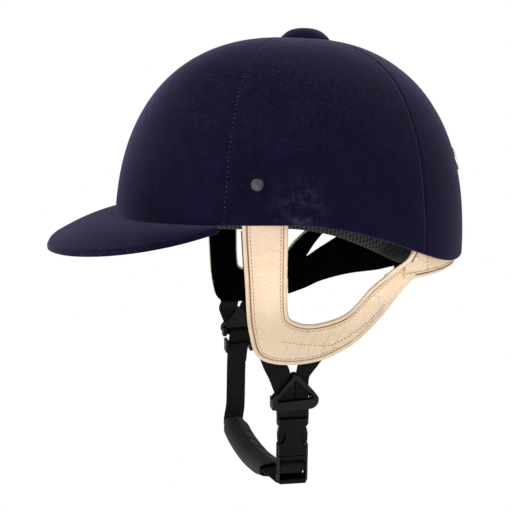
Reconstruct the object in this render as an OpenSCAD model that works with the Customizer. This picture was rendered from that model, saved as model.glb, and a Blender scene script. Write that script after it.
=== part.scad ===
// Velvet-covered riding helmet with a leather harness and a buckled chin strap.
// +X is forward, +Y is the wearer's left, +Z is up, in millimetres.
// The origin is the middle of the head opening, in the dome's base plane.

/* [Dome] */
// Half length of the covered dome in front of its middle
dome_front = 134; // [124:1:144]
// Half length of the covered dome behind its middle
dome_rear = 136; // [126:1:146]
// Half width of the covered dome
dome_half_w = 107; // [100:1:114]
// Height of the covered dome above its base plane
dome_h = 165; // [155:1:175]
// Thickness of the velvet cover
cover_t = 1; // [0.6:0.1:1.6]
// Thickness of the rigid shell
shell_t = 3; // [2:0.5:4]
// Thickness of the foam impact liner
liner_t = 17.5; // [14:0.5:22]
// Height of the rim at the ears
rim_side_z = 43.3; // [40:0.5:48]
// Height of the rim at the nape
rim_rear_z = 8; // [4:0.5:14]
// How far the rim dips at the brow
rim_dip = 3; // [0:0.5:6]

/* [Peak] */
// How far the peak reaches out from the dome at its middle
peak_reach = 49; // [38:1:60]
// Height of the underside at the peak's tip
peak_tip_z = 17; // [10:0.5:26]
// Half of the peak's sweep round the dome, in degrees
peak_half_sweep = 58.5; // [48:0.5:60]
// Thickness of the peak's stiff core
peak_core_t = 2.2; // [1.4:0.1:3]
// Thickness of the cloth on each face of the peak
peak_skin_t = 0.8; // [0.5:0.1:1.2]

/* [Crown button] */
// Diameter of the covered button
button_d = 37; // [28:0.5:44]
// Rise of the button above the dome
button_rise = 7.5; // [5:0.5:12]
// Distance of the button behind the dome's middle
button_back = 11.4; // [6:0.2:14]
// Diameter of the button's shank
shank_d = 4; // [3:0.5:5]

/* [Harness rivets and rear plate] */
// Angle of the side rivets from straight ahead, in degrees
rivet_angle = 69.3; // [66:0.1:72]
// Height of the side rivets on the dome
rivet_z = 67.2; // [64:0.1:72]
// Diameter of a rivet's cap
rivet_cap_d = 8; // [6:0.5:10]
// Diameter of a rivet's shank
rivet_shank_d = 4; // [3:0.2:5]
// Half sweep of the rear plate, in degrees
plate_half_sweep = 30; // [15:1:35]
// Height of the rear plate
plate_h = 17; // [10:1:24]
// Height of the rear plate's middle
plate_z = 77.5; // [70:0.5:85]

/* [Headband] */
// Height of the mesh headband
headband_h = 22; // [18:1:28]
// How far the headband hangs below the rim
headband_drop = 8; // [5:0.5:8]
// Thickness of the headband
headband_t = 7; // [5:0.5:9]
// Thickness of the crown pad
crown_pad_t = 7; // [5:0.5:10]

/* [Leather harness] */
// Thickness of the harness leather
leather_t = 2.2; // [1.6:0.1:2.6]
// Diameter of the piped edges
piping_d = 2.8; // [2.6:0.1:3.2]
// Thickness of the padded lining at its edges
lining_t = 3; // [2:0.5:4]
// Extra thickness of the lining along its middle
lining_crown = 0.8; // [0:0.2:1.4]
// Width of the leg in front of the ear
leg_w = 29.2; // [26:0.2:32]
// Distance from the dome's middle to the leg's front edge
leg_front_x = 53.4; // [50:0.2:56]
// How far the flap hangs below the base plane
flap_drop = 55.8; // [50:0.2:62]
// Height of the nape band below the rear rim
nape_drop = 7.5; // [5:0.5:14]
// Thickness of the padded neck band
neck_t = 6; // [4:0.5:6.5]

/* [Webbing and dividers] */
// Width of the webbing
webbing_w = 18; // [15:0.5:18]
// Thickness of the webbing
webbing_t = 1.4; // [1:0.1:1.5]
// Width of a strap divider
divider_w = 33.6; // [32.6:0.2:37]
// Height of a strap divider
divider_h = 26; // [25:0.2:27]
// Thickness of a divider's front frame
divider_t = 2.8; // [2:0.2:3.6]
// Forward place of the left divider
divider_left_x = 18.6; // [17.6:0.2:20]
// Forward place of the right divider
divider_right_x = 23; // [21:0.2:25]
// Diameter of the hidden bar that carries a loop of webbing
bar_d = 3.8; // [3:0.2:4]

/* [Buckle] */
// Width of the buckle
buckle_w = 22.4; // [21.8:0.2:26]
// Thickness of the buckle
buckle_t = 8.6; // [8.4:0.2:11]
// Length of the socket half, with its ears
socket_len = 35; // [34:0.5:38]
// Length of the plug half below the socket
plug_len = 21.8; // [20:0.2:25]
// Turn of the hanging buckle towards the face, in degrees
buckle_turn = 8; // [0:1:14]
// Forward place of the buckle's middle
buckle_x = 18.6; // [17.6:0.2:20]
// Travel that pulls the plug clear of the socket
release_travel = 26; // [25:0.5:30]

/* [Chin strap] */
// Width of the padded chin sleeve
pad_w = 24; // [21:0.5:27]
// Thickness of the padded chin sleeve
pad_t = 10.4; // [8:0.2:12]
// Depth of the creases across the chin sleeve
pad_crease = 0.7; // [0:0.1:1]

/* [Hidden] */

// Small gap that keeps neighbouring pieces apart
gap = 0.3;
// Gap between curved layers that have different facets
layer_gap = 0.55;
// Glue line between layers that share their facets
glue = 0.05;

// Roundness of the dome in plan, and of its front, rear and side profiles
plan_power = 2.2;
front_power = 2.49;
rear_power = 2.47;
side_power = 2.2;

// Columns round the dome and rows from the crown to the rim
dome_step = 7.5;
dome_rows = 10;
// The side seams' angle from straight ahead, and half the groove between two panels
front_seam = 60;
rear_seam = 120;
seam_half = 0.12;

// Depths below the velvet's outer face
shell_out = cover_t + glue;
shell_in = shell_out + shell_t;
liner_out = shell_in + layer_gap;
liner_in = liner_out + liner_t;
tab_out = liner_in + gap;
tab_in = tab_out + leather_t;
washer_t = 0.8;
headband_out = tab_in + washer_t + 4 * gap;
nape_out = shell_in + layer_gap;
nape_in = nape_out + leather_t;

// Roundings and rows of the peak
peak_skin_cols = 18;
peak_rows = 4;
peak_bulge = 3;
peak_edge_lift = 21.6;
peak_t = peak_core_t + 2 * peak_skin_t + 4 * glue;

// Colours as the object shows them
velvet = "#17132b";
plastic = "#1c1c1e";
tan_leather = "#e8d2b4";
black_cloth = "#0e0e10";
grey_mesh = "#3a3d3e";
foam = "#d9d9d6";
metal = "#6b6d70";

// The dome: points on a layer that lies a depth below the velvet

function smooth(u) = let (v = min(max(u, 0), 1)) v * v * (3 - 2 * v);

function signed_power(v, e) = sign(v) * pow(abs(v), e);

function profile_power(t) =
  (cos(t) > 0 ? front_power : rear_power) * pow(cos(t), 2) + side_power * pow(sin(t), 2);

function plan_point(t, depth) = [
  signed_power(cos(t), 2 / plan_power) * ((cos(t) > 0 ? dome_front : dome_rear) - depth),
  signed_power(sin(t), 2 / plan_power) * (dome_half_w - depth)
];

function spread_at(t, z, depth) =
  let (q = profile_power(t))
  pow(max(0, 1 - pow(max(z, 0) / (dome_h - depth), q)), 1 / q);

function dome_at_height(t, z, depth) =
  let (p = plan_point(t, depth) * spread_at(t, z, depth))
  [p[0], p[1], z];

function dome_at_angle(t, s, depth) =
  let (q = profile_power(t), p = plan_point(t, depth) * pow(sin(s), 2 / q))
  [p[0], p[1], (dome_h - depth) * pow(cos(s), 2 / q)];

function angle_at_height(t, z, depth) =
  acos(pow(z / (dome_h - depth), profile_power(t) / 2));

function outward(t, z) =
  let (
    step = 0.5,
    a = dome_at_height(t + step, z, 0) - dome_at_height(t - step, z, 0),
    b = dome_at_height(t, z + step, 0) - dome_at_height(t, z - step, 0),
    n = cross(a, b)
  )
  n / norm(n);

// Height of the rim: high at the brow and the ears, low at the nape
function fold_angle(t) = let (a = abs(t)) a > 180 ? 360 - a : a;

function rim_z(t) =
  let (a = fold_angle(t))
  rim_rear_z + (rim_side_z - rim_rear_z) * pow(smooth((143 - a) / 65), 1.1)
    - (a < 90 ? rim_dip * pow(cos(a), 4) : 0);

// The foam stops a little above the rim, and higher at the nape to clear the leather
function liner_low_z(t) = rim_z(t) + 2 + (nape_drop - 2) * smooth((fold_angle(t) - 95) / 12);

// Solids from grids of points

function wrap(i, n) = i >= n ? i - n : i;

// Faces between two like sections of k points each
function sweep_faces(n, k, closed) = concat(
  [for (i = [0:(closed ? n - 1 : n - 2)], j = [0:k - 1], part = [0, 1])
    let (
      a = i * k + j,
      b = i * k + wrap(j + 1, k),
      c = wrap(i + 1, n) * k + wrap(j + 1, k),
      d = wrap(i + 1, n) * k + j
    )
    part == 0 ? [a, b, c] : [a, c, d]],
  closed ? [] : [for (j = [0:k / 2 - 2], part = [0, 1])
    part == 0 ? [j, k - 2 - j, j + 1] : [j, k - 1 - j, k - 2 - j]],
  closed ? [] : [for (j = [0:k / 2 - 2], part = [0, 1])
    let (o = (n - 1) * k)
    part == 0 ? [o + j, o + j + 1, o + k - 2 - j] : [o + j, o + k - 2 - j, o + k - 1 - j]]
);

module sweep(sections, closed = false) {
  polyhedron(
    points = [for (s = sections, p = s) p],
    faces = sweep_faces(len(sections), len(sections[0]), closed),
    convexity = 6
  );
}

// Faces of a dome layer: an outer and an inner skin that meet at the rim
function cap_index(skin, row, col, n, rows) =
  skin * (1 + n * rows) + (row == 0 ? 0 : 1 + (row - 1) * n + col);

function cap_skin_faces(skin, n, rows, closed) = [
  for (i = [0:(closed ? n - 1 : n - 2)], r = [0:rows - 1], part = [0:(r == 0 ? 0 : 1)])
    let (
      i2 = wrap(i + 1, n),
      a = cap_index(skin, r, i, n, rows),
      b = cap_index(skin, r, i2, n, rows),
      c = cap_index(skin, r + 1, i2, n, rows),
      d = cap_index(skin, r + 1, i, n, rows),
      f = part == 0 ? [a, c, d] : [a, b, c]
    )
    skin == 0 ? f : [f[2], f[1], f[0]]
];

function cap_rim_faces(n, rows, closed) = [
  for (i = [0:(closed ? n - 1 : n - 2)], part = [0, 1])
    let (
      i2 = wrap(i + 1, n),
      a = cap_index(0, rows, i, n, rows),
      b = cap_index(0, rows, i2, n, rows),
      c = cap_index(1, rows, i2, n, rows),
      d = cap_index(1, rows, i, n, rows)
    )
    part == 0 ? [a, b, c] : [a, c, d]
];

function cap_side_faces(n, rows) = [
  for (col = [0, n - 1], r = [0:rows - 1], part = [0, 1])
    let (
      a = cap_index(0, r, col, n, rows),
      b = cap_index(0, r + 1, col, n, rows),
      c = cap_index(1, r + 1, col, n, rows),
      d = cap_index(1, r, col, n, rows),
      f = part == 0 ? [a, b, c] : [a, c, d]
    )
    col == 0 ? f : [f[2], f[1], f[0]]
];

function cap_points(depth, columns, rows, low_z) = concat(
  [dome_at_angle(0, 0, depth)],
  [for (r = [1:rows], t = columns)
    dome_at_angle(t, angle_at_height(t, low_z(t), depth) * r / rows, depth)]
);

module dome_layer(out, inner, columns, rows, low_z, closed) {
  n = len(columns);
  polyhedron(
    points = concat(cap_points(out, columns, rows, low_z), cap_points(inner, columns, rows, low_z)),
    faces = concat(
      cap_skin_faces(0, n, rows, closed),
      cap_skin_faces(1, n, rows, closed),
      cap_rim_faces(n, rows, closed),
      closed ? [] : cap_side_faces(n, rows)
    ),
    convexity = 6
  );
}

function round_columns(step) = [for (t = [0:step:360 - step]) t];

function panel_columns(from, to) = concat(
  [from + seam_half],
  [for (t = [from + dome_step:dome_step:to - dome_step]) t],
  [to - seam_half]
);

// A strip of a dome layer between two heights, over some angles
module dome_strip(out, inner, angles, low_z, high_z, rows = 3) {
  sweep([for (t = angles) concat(
    [for (r = [0:rows]) dome_at_height(t, low_z(t) + (high_z(t) - low_z(t)) * r / rows, out)],
    [for (r = [rows:-1:0]) dome_at_height(t, low_z(t) + (high_z(t) - low_z(t)) * r / rows, inner)]
  )]);
}

function angles(from, to, count) = [for (i = [0:count]) from + (to - from) * i / count];

// Shell, cover and liner

rim = function (t) rim_z(t);

module velvet_panel(from, to) {
  color(velvet) dome_layer(0, cover_t, panel_columns(from, to), dome_rows, rim, false);
}

module cover_front() {
  velvet_panel(-front_seam, front_seam);
}

module cover_left() {
  difference() {
    velvet_panel(front_seam, rear_seam);
    rivet_bore(1);
  }
}

module cover_right() {
  difference() {
    velvet_panel(360 - rear_seam, 360 - front_seam);
    rivet_bore(-1);
  }
}

module cover_rear() {
  difference() {
    velvet_panel(rear_seam, 360 - rear_seam);
    shank_bore();
  }
}

module outer_shell() {
  color(plastic) difference() {
    dome_layer(shell_out, shell_in, round_columns(dome_step), dome_rows, rim, true);
    shank_bore();
    rivet_bore(1);
    rivet_bore(-1);
  }
}

module impact_liner() {
  color(foam) difference() {
    dome_layer(liner_out, liner_in, round_columns(dome_step), dome_rows,
      function (t) liner_low_z(t), true);
    translate([-button_back, 0, dome_h - liner_out - washer_pocket])
      cylinder(d = washer_d + 3, h = washer_pocket + liner_t, $fn = 48);
    rivet_bore(1);
    rivet_bore(-1);
  }
}

// Peak

function peak_width(t) = peak_reach * pow(1 - pow(t / (peak_half_sweep + 2), 2), 0.9);

function peak_edge_z(t) =
  let (v = abs(t) / 60)
  peak_tip_z + peak_t + peak_edge_lift * (0.35 * v + 0.65 * pow(v, 2.5));

// A point on the peak's top: u is 0 under the shell's rim and 1 at the free edge
function peak_point(t, u, depth) =
  let (
    low = rim_z(t) - 2 * gap / 3,
    n3 = outward(t, low),
    n = [n3[0], n3[1]] / norm([n3[0], n3[1]]),
    root = dome_at_height(t, low, 0),
    w = -liner_out + (peak_width(t) + liner_out) * u,
    v = max(w, 0) / peak_width(t),
    z = low + (peak_edge_z(t) - low) * v + peak_bulge * sin(180 * v) * peak_width(t) / peak_reach
  )
  [root[0] + n[0] * w, root[1] + n[1] * w, z - depth];

module peak_layer(top, under) {
  sweep([for (t = angles(-peak_half_sweep, peak_half_sweep, peak_skin_cols)) concat(
    [for (r = [peak_rows:-1:0]) peak_point(t, r / peak_rows, top)],
    [for (r = [0:peak_rows]) peak_point(t, r / peak_rows, under)]
  )]);
}

module peak_cover() {
  color(velvet) peak_layer(0, peak_skin_t);
}

module peak_core() {
  color(plastic) peak_layer(peak_skin_t + 2 * glue, peak_t - peak_skin_t - 2 * glue);
}

module peak_underside() {
  color(black_cloth) peak_layer(peak_t - peak_skin_t, peak_t);
}

// Crown button

washer_d = 14;
washer_pocket = 4;
button_power = 3.2;
button_edge = 0.8;
button_rings = 6;
button_sides = 32;

function dome_height_over(x, y) =
  let (
    a = x > 0 ? dome_front : dome_rear,
    rho = pow(pow(abs(x) / a, plan_power) + pow(abs(y) / dome_half_w, plan_power), 1 / plan_power),
    q = profile_power(atan2(y / dome_half_w, x / a))
  )
  dome_h * pow(1 - pow(rho, q), 1 / q);

function button_ring(r, on_top) = [for (i = [0:button_sides - 1])
  let (
    a = 360 * i / button_sides,
    x = r * cos(a) - button_back,
    y = r * sin(a),
    base = dome_height_over(x, y) + gap / 2,
    swell = 1 - pow(2 * r / button_d, button_power)
  )
  [x, y, on_top ? base + button_edge + (button_rise - button_edge) * swell : base]];

// Rings from the top's middle out to the edge and back along the underside
module crown_button() {
  radii = [for (k = [0:button_rings]) button_d / 2 * sin(90 * (k + 0.15) / (button_rings + 0.15))];
  color(velvet) difference() {
    sweep(concat(
      [for (k = [0:button_rings]) button_ring(radii[k], true)],
      [for (k = [button_rings:-1:0]) button_ring(radii[k], false)]
    ));
    translate([-button_back, 0, dome_h - 10])
      cylinder(d = shank_d + gap, h = 10 + button_rise / 2, $fn = 32);
  }
}

module shank_bore() {
  translate([-button_back, 0, dome_h - 30]) cylinder(d = shank_d + gap, h = 60, $fn = 32);
}

module button_shank() {
  color(metal) translate([-button_back, 0, dome_h - liner_out - washer_pocket + gap])
    cylinder(d = shank_d, h = liner_out + washer_pocket + button_rise / 2 - 2 * gap, $fn = 32);
}

module button_washer() {
  color(metal) translate([-button_back, 0, dome_h - liner_out - 2 * gap - 1.2]) difference() {
    cylinder(d = washer_d, h = 1.2, $fn = 48);
    translate([0, 0, -1]) cylinder(d = shank_d + gap / 3, h = 4, $fn = 32);
  }
}

// Side rivets that carry the harness

rivet_foot = dome_at_height(rivet_angle, rivet_z, 0);
rivet_axis = outward(rivet_angle, rivet_z);

module mirrored(side) {
  if (side > 0) children();
  else mirror([0, 1, 0]) children();
}

module on_rivet(side) {
  mirrored(side) translate(rivet_foot)
    rotate([0, acos(rivet_axis[2]), atan2(rivet_axis[1], rivet_axis[0])]) children();
}

module rivet_bore(side) {
  on_rivet(side) translate([0, 0, -40]) cylinder(d = rivet_shank_d + gap, h = 60, $fn = 32);
}

rivet_depth = tab_in + washer_t + 1.5;
rivet_cap_h = 2;

module side_rivet(side) {
  color(metal) on_rivet(side) rotate_extrude($fn = 48) polygon(concat(
    [[0, -rivet_depth], [rivet_shank_d / 2, -rivet_depth], [rivet_shank_d / 2, gap / 6]],
    [for (a = [0:10:90]) [rivet_cap_d / 2 * cos(a), gap / 6 + 0.5 + (rivet_cap_h - 0.5) * sin(a)]]
  ));
}

module side_rivet_left() {
  side_rivet(1);
}

module side_rivet_right() {
  side_rivet(-1);
}

module rivet_washer(side) {
  color(metal) on_rivet(side) translate([0, 0, -rivet_depth + 0.5]) difference() {
    cylinder(d = rivet_cap_d + 1, h = washer_t, $fn = 48);
    translate([0, 0, -1]) cylinder(d = rivet_shank_d + gap / 3, h = 4, $fn = 32);
  }
}

module rivet_washer_left() {
  rivet_washer(1);
}

module rivet_washer_right() {
  rivet_washer(-1);
}

// Bare plate at the back of the crown

plate_t = 1.2;

function plate_half_h(t) =
  plate_h / 2 * pow(max(0.02, 1 - pow(abs(t - 180) / plate_half_sweep, 6)), 0.5);

module rear_plate() {
  color(metal) dome_strip(-plate_t - gap / 3, -gap / 3,
    angles(180 - plate_half_sweep, 180 + plate_half_sweep, 16),
    function (t) plate_z - plate_half_h(t), function (t) plate_z + plate_half_h(t), 2);
}

// Comfort lining

module crown_pad() {
  color(grey_mesh) dome_layer(liner_in + layer_gap, liner_in + layer_gap + crown_pad_t,
    round_columns(15), 4, function (t) 0.66 * dome_h, true);
}

headband_sides = 10;
headband_step = 10;
roll_power = 0.7;

// A padded roll: its section is a soft-cornered oval that crowns on both faces
module headband() {
  color(grey_mesh) sweep([for (t = round_columns(headband_step)) [for (i = [0:headband_sides - 1])
    let (
      a = -360 * (i + 0.5) / headband_sides,
      z = rim_z(t) - headband_drop + headband_h / 2 * (1 + signed_power(sin(a), roll_power)),
      depth = headband_out + headband_t / 2 * (1 + signed_power(cos(a), roll_power))
    )
    dome_at_height(t, z, depth)]], true);
}

patch_half_sweep = 14;

module hook_patch(middle) {
  dome_strip(liner_in + gap, headband_out - gap / 2,
    angles(middle - patch_half_sweep, middle + patch_half_sweep, 4),
    function (t) rim_z(t) + nape_drop + 1,
    function (t) rim_z(t) - headband_drop + headband_h - 1, 1);
}

module hook_patches() {
  color(black_cloth) {
    hook_patch(0);
    hook_patch(180);
  }
}

// Harness leather. The flap lies on a surface y(x), closer to the head than the shell

tab_low_z = 36.5;
flap_top_z = tab_low_z - 2;
flap_half_w = dome_half_w - liner_in - 1;
flap_half_l = dome_front - liner_in - 7;
flap_bend_x = 10;
flap_flare = 0.12;

function flap_y(x) = x > flap_bend_x
  ? flap_half_w * sqrt(1 - pow(x / flap_half_l, 2))
  : flap_half_w * sqrt(1 - pow(flap_bend_x / flap_half_l, 2)) + flap_flare * (flap_bend_x - x);

leg_rear_x = leg_front_x - leg_w;
ear_low_z = 26.3 - flap_drop;
arm_end_x = -54;

// The two edges of the leather, from the top of the leg, round the jaw and back up to the nape
outer_edge = [
  [leg_front_x, flap_top_z], [leg_front_x - 1.6, 2], [leg_front_x - 4.2, 20.2 - flap_drop],
  [leg_front_x - 13.2, 0.6 - flap_drop], [8, -1.8 - flap_drop], [-19.6, 9.2 - flap_drop],
  [-40, 28.6 - flap_drop], [-51.6, 45 - flap_drop], [arm_end_x, 48 - flap_drop]
];
ear_edge = [
  [leg_rear_x, flap_top_z], [leg_rear_x + 0.2, 2], [leg_rear_x - 0.3, 10.9 + ear_low_z],
  [leg_rear_x - 3.4, 3.3 + ear_low_z], [6, ear_low_z], [-16, 6.5 + ear_low_z],
  [-33, 24.5 + ear_low_z], [-48.5, 36.7 + ear_low_z], [arm_end_x, 40 + ear_low_z]
];

function curve_point(a, b, c, d, u) =
  0.5 * (2 * b + (c - a) * u + (2 * a - 5 * b + 4 * c - d) * u * u
    + (3 * b - a - 3 * c + d) * u * u * u);

function curve(pts, steps) = concat(
  [for (i = [0:len(pts) - 2], k = [0:steps - 1])
    curve_point(pts[max(i - 1, 0)], pts[i], pts[i + 1], pts[min(i + 2, len(pts) - 1)], k / steps)],
  [pts[len(pts) - 1]]
);

edge_steps = 4;
outer_curve = curve(outer_edge, edge_steps);
ear_curve = curve(ear_edge, edge_steps);
last_section = len(outer_curve) - 1;

function across(i) = ear_curve[i] - outer_curve[i];

function flap_point(i, inset, u, depth) =
  let (
    d = across(i),
    l = norm(d),
    p = outer_curve[i] + d / l * (inset + (l - 2 * inset) * u)
  )
  [p[0], flap_y(p[0]) - depth, p[1]];

flap_columns = 4;

module flap_layer(out, inner, crown, inset, from) {
  sweep([for (i = [from:last_section]) concat(
    [for (k = [0:flap_columns]) flap_point(i, inset, k / flap_columns, out)],
    [for (k = [flap_columns:-1:0]) flap_point(i, inset, k / flap_columns,
      inner + crown * sin(180 * k / flap_columns))]
  )]);
}

strap_depth = piping_d + 2 * gap / 3;
lining_out = strap_depth + webbing_t + gap;

module flap_leather(side) {
  color(tan_leather) mirrored(side) flap_layer(0, leather_t, 0, piping_d + gap / 3, 0);
}

module flap_leather_left() {
  flap_leather(1);
}

module flap_leather_right() {
  flap_leather(-1);
}

module flap_lining(side) {
  color(black_cloth) mirrored(side)
    flap_layer(lining_out, lining_out + lining_t, lining_crown, 1, 1);
}

module flap_lining_left() {
  flap_lining(1);
}

module flap_lining_right() {
  flap_lining(-1);
}

piping_sides = 6;

module piping_run(edge) {
  sweep([for (i = [0:last_section])
    let (
      d = across(i) / norm(across(i)) * (edge == 0 ? 1 : -1),
      p = (edge == 0 ? outer_curve[i] : ear_curve[i]) + d * piping_d / 2,
      c = [p[0], flap_y(p[0]) - piping_d / 2, p[1]]
    )
    [for (k = [0:piping_sides - 1])
      let (a = 360 * (k + 0.5) / piping_sides * (edge == 0 ? 1 : -1))
      c - piping_d / 2 * (cos(a) * [d[0], 0, d[1]] - sin(a) * [0, 1, 0])]]);
}

module flap_piping(side) {
  color(tan_leather) mirrored(side) {
    piping_run(0);
    piping_run(1);
  }
}

module flap_piping_left() {
  flap_piping(1);
}

module flap_piping_right() {
  flap_piping(-1);
}

// Angle at which a layer has a given x, near a height
function angle_of_x(x, z, depth) =
  let (c = x / ((x > 0 ? dome_front : dome_rear) - depth) / spread_at(75, z, depth))
  acos(signed_power(c, plan_power / 2));

module harness_tab(side) {
  tab_front = angle_of_x(leg_front_x - 1, tab_low_z, tab_out);
  tab_rear = angle_of_x(leg_rear_x + 1, tab_low_z, tab_out);
  color(tan_leather) difference() {
    mirrored(side) dome_strip(tab_out, tab_in, angles(tab_front, tab_rear, 4),
      function (t) tab_low_z, function (t) rivet_z, 5);
    rivet_bore(side);
  }
}

module harness_tab_left() {
  harness_tab(1);
}

module harness_tab_right() {
  harness_tab(-1);
}

nape_from = angle_of_x(arm_end_x - 1.5, 5, nape_out);
nape_low_z = rim_rear_z - nape_drop;

// The band rises from the flap's end and tucks up behind the rim
function nape_high_z(t) =
  min(rim_z(t) + nape_drop - gap, 10.5 + 3.2 * (fold_angle(t) - nape_from));

nape_angles = angles(nape_from, 360 - nape_from, 36);
// The lining starts further back, clear of the flap's swinging end
nape_lining_from = nape_from + 5;
nape_lining_angles = angles(nape_lining_from, 360 - nape_lining_from, 36);

module nape_band() {
  color(tan_leather) dome_strip(nape_out, nape_in, nape_angles,
    function (t) nape_low_z, function (t) nape_high_z(t), 2);
}

module nape_lining() {
  color(black_cloth) dome_strip(nape_in + gap, nape_in + gap + lining_t, nape_lining_angles,
    function (t) nape_low_z + 1, function (t) nape_high_z(t) - 0.5, 2);
}

// Padded neck band inside the harness: points are x, y, low z and high z on the right side.
// On the left its lower edge sits a little higher, behind the flap's arm, and on the right it stands taller
neck_left_lift = 6;
neck_right_rise = [16.6, 6.2, 4.7, 0, 0];
neck_half = [
  [-20, 63, -50, -36], [-35, 61.5, -45, -22], [-50, 58, -38, -10], [-70, 46, -28, 10], [-88, 23, -18, 20]
];
neck_points = concat(
  [for (i = [0:len(neck_half) - 1])
    let (p = neck_half[i])
    [p[0], -p[1], p[2], p[3] + neck_right_rise[i]]],
  [[-99, 0, -14, 22]],
  [for (i = [len(neck_half) - 1:-1:0]) neck_half[i] + [0, 0, i < 4 ? neck_left_lift : 0, 0]]
);
neck_path = curve(neck_points, 3);
neck_sides = 10;

module neck_band() {
  n = len(neck_path);
  color(black_cloth) sweep([for (i = [0:n - 1])
    let (
      p = neck_path[i],
      a = neck_path[max(i - 1, 0)],
      b = neck_path[min(i + 1, n - 1)],
      d = [b[0] - a[0], b[1] - a[1]] / norm([b[0] - a[0], b[1] - a[1]])
    )
    [for (k = [0:neck_sides - 1])
      let (
        t = 360 * (k + 0.5) / neck_sides,
        w = neck_t / 2 * signed_power(cos(t), 0.7),
        h = (p[3] - p[2]) / 2 * signed_power(sin(t), 0.5)
      )
      [p[0] + d[1] * w, p[1] - d[0] * w, (p[2] + p[3]) / 2 + h]]]);
}

// Webbing straps of one side: points are x, z, share of the flap's own depth, and width

bar_y = flap_half_w - 7;
bar_z = -flap_drop - 32;
loop_in = bar_d / 2 + 0.4;
loop_out = loop_in + webbing_t;
frame_back_y = bar_y + loop_out + 1;
strap_y = frame_back_y - gap - webbing_t / 2;
strap_low = bar_z + loop_out - 0.7;

function front_strap(shift) = [
  [leg_front_x - leg_w / 2, 30, 1, webbing_w], [leg_front_x - leg_w / 2, 0, 1, webbing_w],
  [38, 25.8 - flap_drop, 1, webbing_w], [35.2, 10.8 - flap_drop, 1, webbing_w],
  [31.8, -2.8 - flap_drop, 1, webbing_w - 2],
  [30.2 + shift, -7.4 - flap_drop, 0.15, webbing_w - 2.4],
  [29 + shift, -11.2 - flap_drop, 0, webbing_w - 2.8],
  [27.2 + shift, -18.2 - flap_drop, 0, webbing_w - 4.2],
  [25 + shift, -25 - flap_drop, 0, webbing_w - 6], [25 + shift, strap_low, 0, webbing_w - 6]
];

function rear_strap(shift) = [
  [-46, 53.8 - flap_drop, 1, webbing_w - 1], [-36, 41.8 - flap_drop, 1, webbing_w - 1],
  [-22, 27.8 - flap_drop, 1, webbing_w], [-9, 17.3 - flap_drop, 1, webbing_w],
  [0, 10.3 - flap_drop, 1, webbing_w], [5.5, 4.3 - flap_drop, 1, webbing_w - 1],
  [8.8 + shift / 2, -2.6 - flap_drop, 1.25, webbing_w - 4],
  [11.4 + shift, -7.4 - flap_drop, 0.15, webbing_w - 6],
  [12.8 + shift, -11.6 - flap_drop, 0, webbing_w - 7.8],
  [13.2 + shift, -18.2 - flap_drop, 0, webbing_w - 8.4], [13.2 + shift, strap_low, 0, webbing_w - 8.4]
];

strap_columns = 2;

module strap(pts) {
  path = curve(pts, 2);
  n = len(path);
  sweep([for (i = [0:n - 1])
    let (
      p = path[i],
      a = path[max(i - 1, 0)],
      b = path[min(i + 1, n - 1)],
      d = [b[0] - a[0], b[1] - a[1]] / norm([b[0] - a[0], b[1] - a[1]]),
      side = [-d[1], d[0]],
      rim_points = [for (k = [0:strap_columns])
        let (q = [p[0], p[1]] + side * p[3] * (k / strap_columns - 0.5))
        [q[0], p[2] * (flap_y(q[0]) - strap_depth - webbing_t / 2) + (1 - p[2]) * strap_y, q[1]]]
    )
    concat(
      [for (k = [strap_columns:-1:0]) rim_points[k] + [0, webbing_t / 2, 0]],
      [for (k = [0:strap_columns]) rim_points[k] - [0, webbing_t / 2, 0]]
    )]);
}

function divider_shift(side) = (side > 0 ? divider_left_x : divider_right_x) - divider_left_x;

module front_webbing(side) {
  color(black_cloth) mirrored(side) strap(front_strap(divider_shift(side)));
}

module front_webbing_left() {
  front_webbing(1);
}

module front_webbing_right() {
  front_webbing(-1);
}

module rear_webbing(side) {
  color(black_cloth) mirrored(side) strap(rear_strap(divider_shift(side)));
}

module rear_webbing_left() {
  rear_webbing(1);
}

module rear_webbing_right() {
  rear_webbing(-1);
}

// Triangular dividers: the straps lie between a front frame and a back plate, and two lugs hold a round bar

divider_top = -flap_drop - 9.2;
divider_low = divider_top - divider_h;
lower_r = 6.2;
upper_r = 3.5;
lug_w = 3.3;
lug_gap = divider_w - 2 * lug_w - 1.6;
lug_back = bar_d / 2 + 0.6;
lug_h = 8;
plate_low = bar_z + loop_out + 0.7;
back_plate_t = 2;
back_plate_y = strap_y - webbing_t / 2 - 2 * gap - back_plate_t;

module divider_outline() {
  hull() {
    translate([0, divider_top - upper_r]) circle(r = upper_r, $fn = 24);
    for (s = [-1, 1]) translate([s * (divider_w / 2 - lower_r), divider_low + lower_r])
      circle(r = lower_r, $fn = 24);
  }
}

module divider_opening() {
  hull() {
    translate([0, divider_top - 4.6]) circle(r = 0.8, $fn = 24);
    for (s = [-1, 1]) translate([s * (divider_w / 2 - 5.2), divider_low + 8.7])
      circle(r = 1.6, $fn = 24);
  }
}

module divider(side) {
  color(plastic) mirrored(side) translate([divider_left_x + divider_shift(side), 0, 0]) {
    translate([0, frame_back_y + divider_t, 0]) rotate([90, 0, 0]) linear_extrude(divider_t)
      difference() {
        divider_outline();
        divider_opening();
      }
    translate([0, back_plate_y + back_plate_t, 0]) rotate([90, 0, 0]) linear_extrude(back_plate_t)
      intersection() {
        divider_outline();
        translate([-divider_w / 2, plate_low]) square([divider_w, divider_h]);
      }
    for (s = [-1, 1])
      translate([s * (lug_gap + lug_w) / 2 - lug_w / 2, bar_y - lug_back, divider_low + 0.5])
        cube([lug_w, frame_back_y - bar_y + lug_back + 0.1, lug_h]);
    translate([-lug_gap / 2 - 1, bar_y, bar_z]) rotate([0, 90, 0])
      cylinder(d = bar_d, h = lug_gap + 2, $fn = 48);
  }
}

module divider_left() {
  divider(1);
}

module divider_right() {
  divider(-1);
}

// Buckle: the loop hangs on the left divider's bar and carries the socket half

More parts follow.
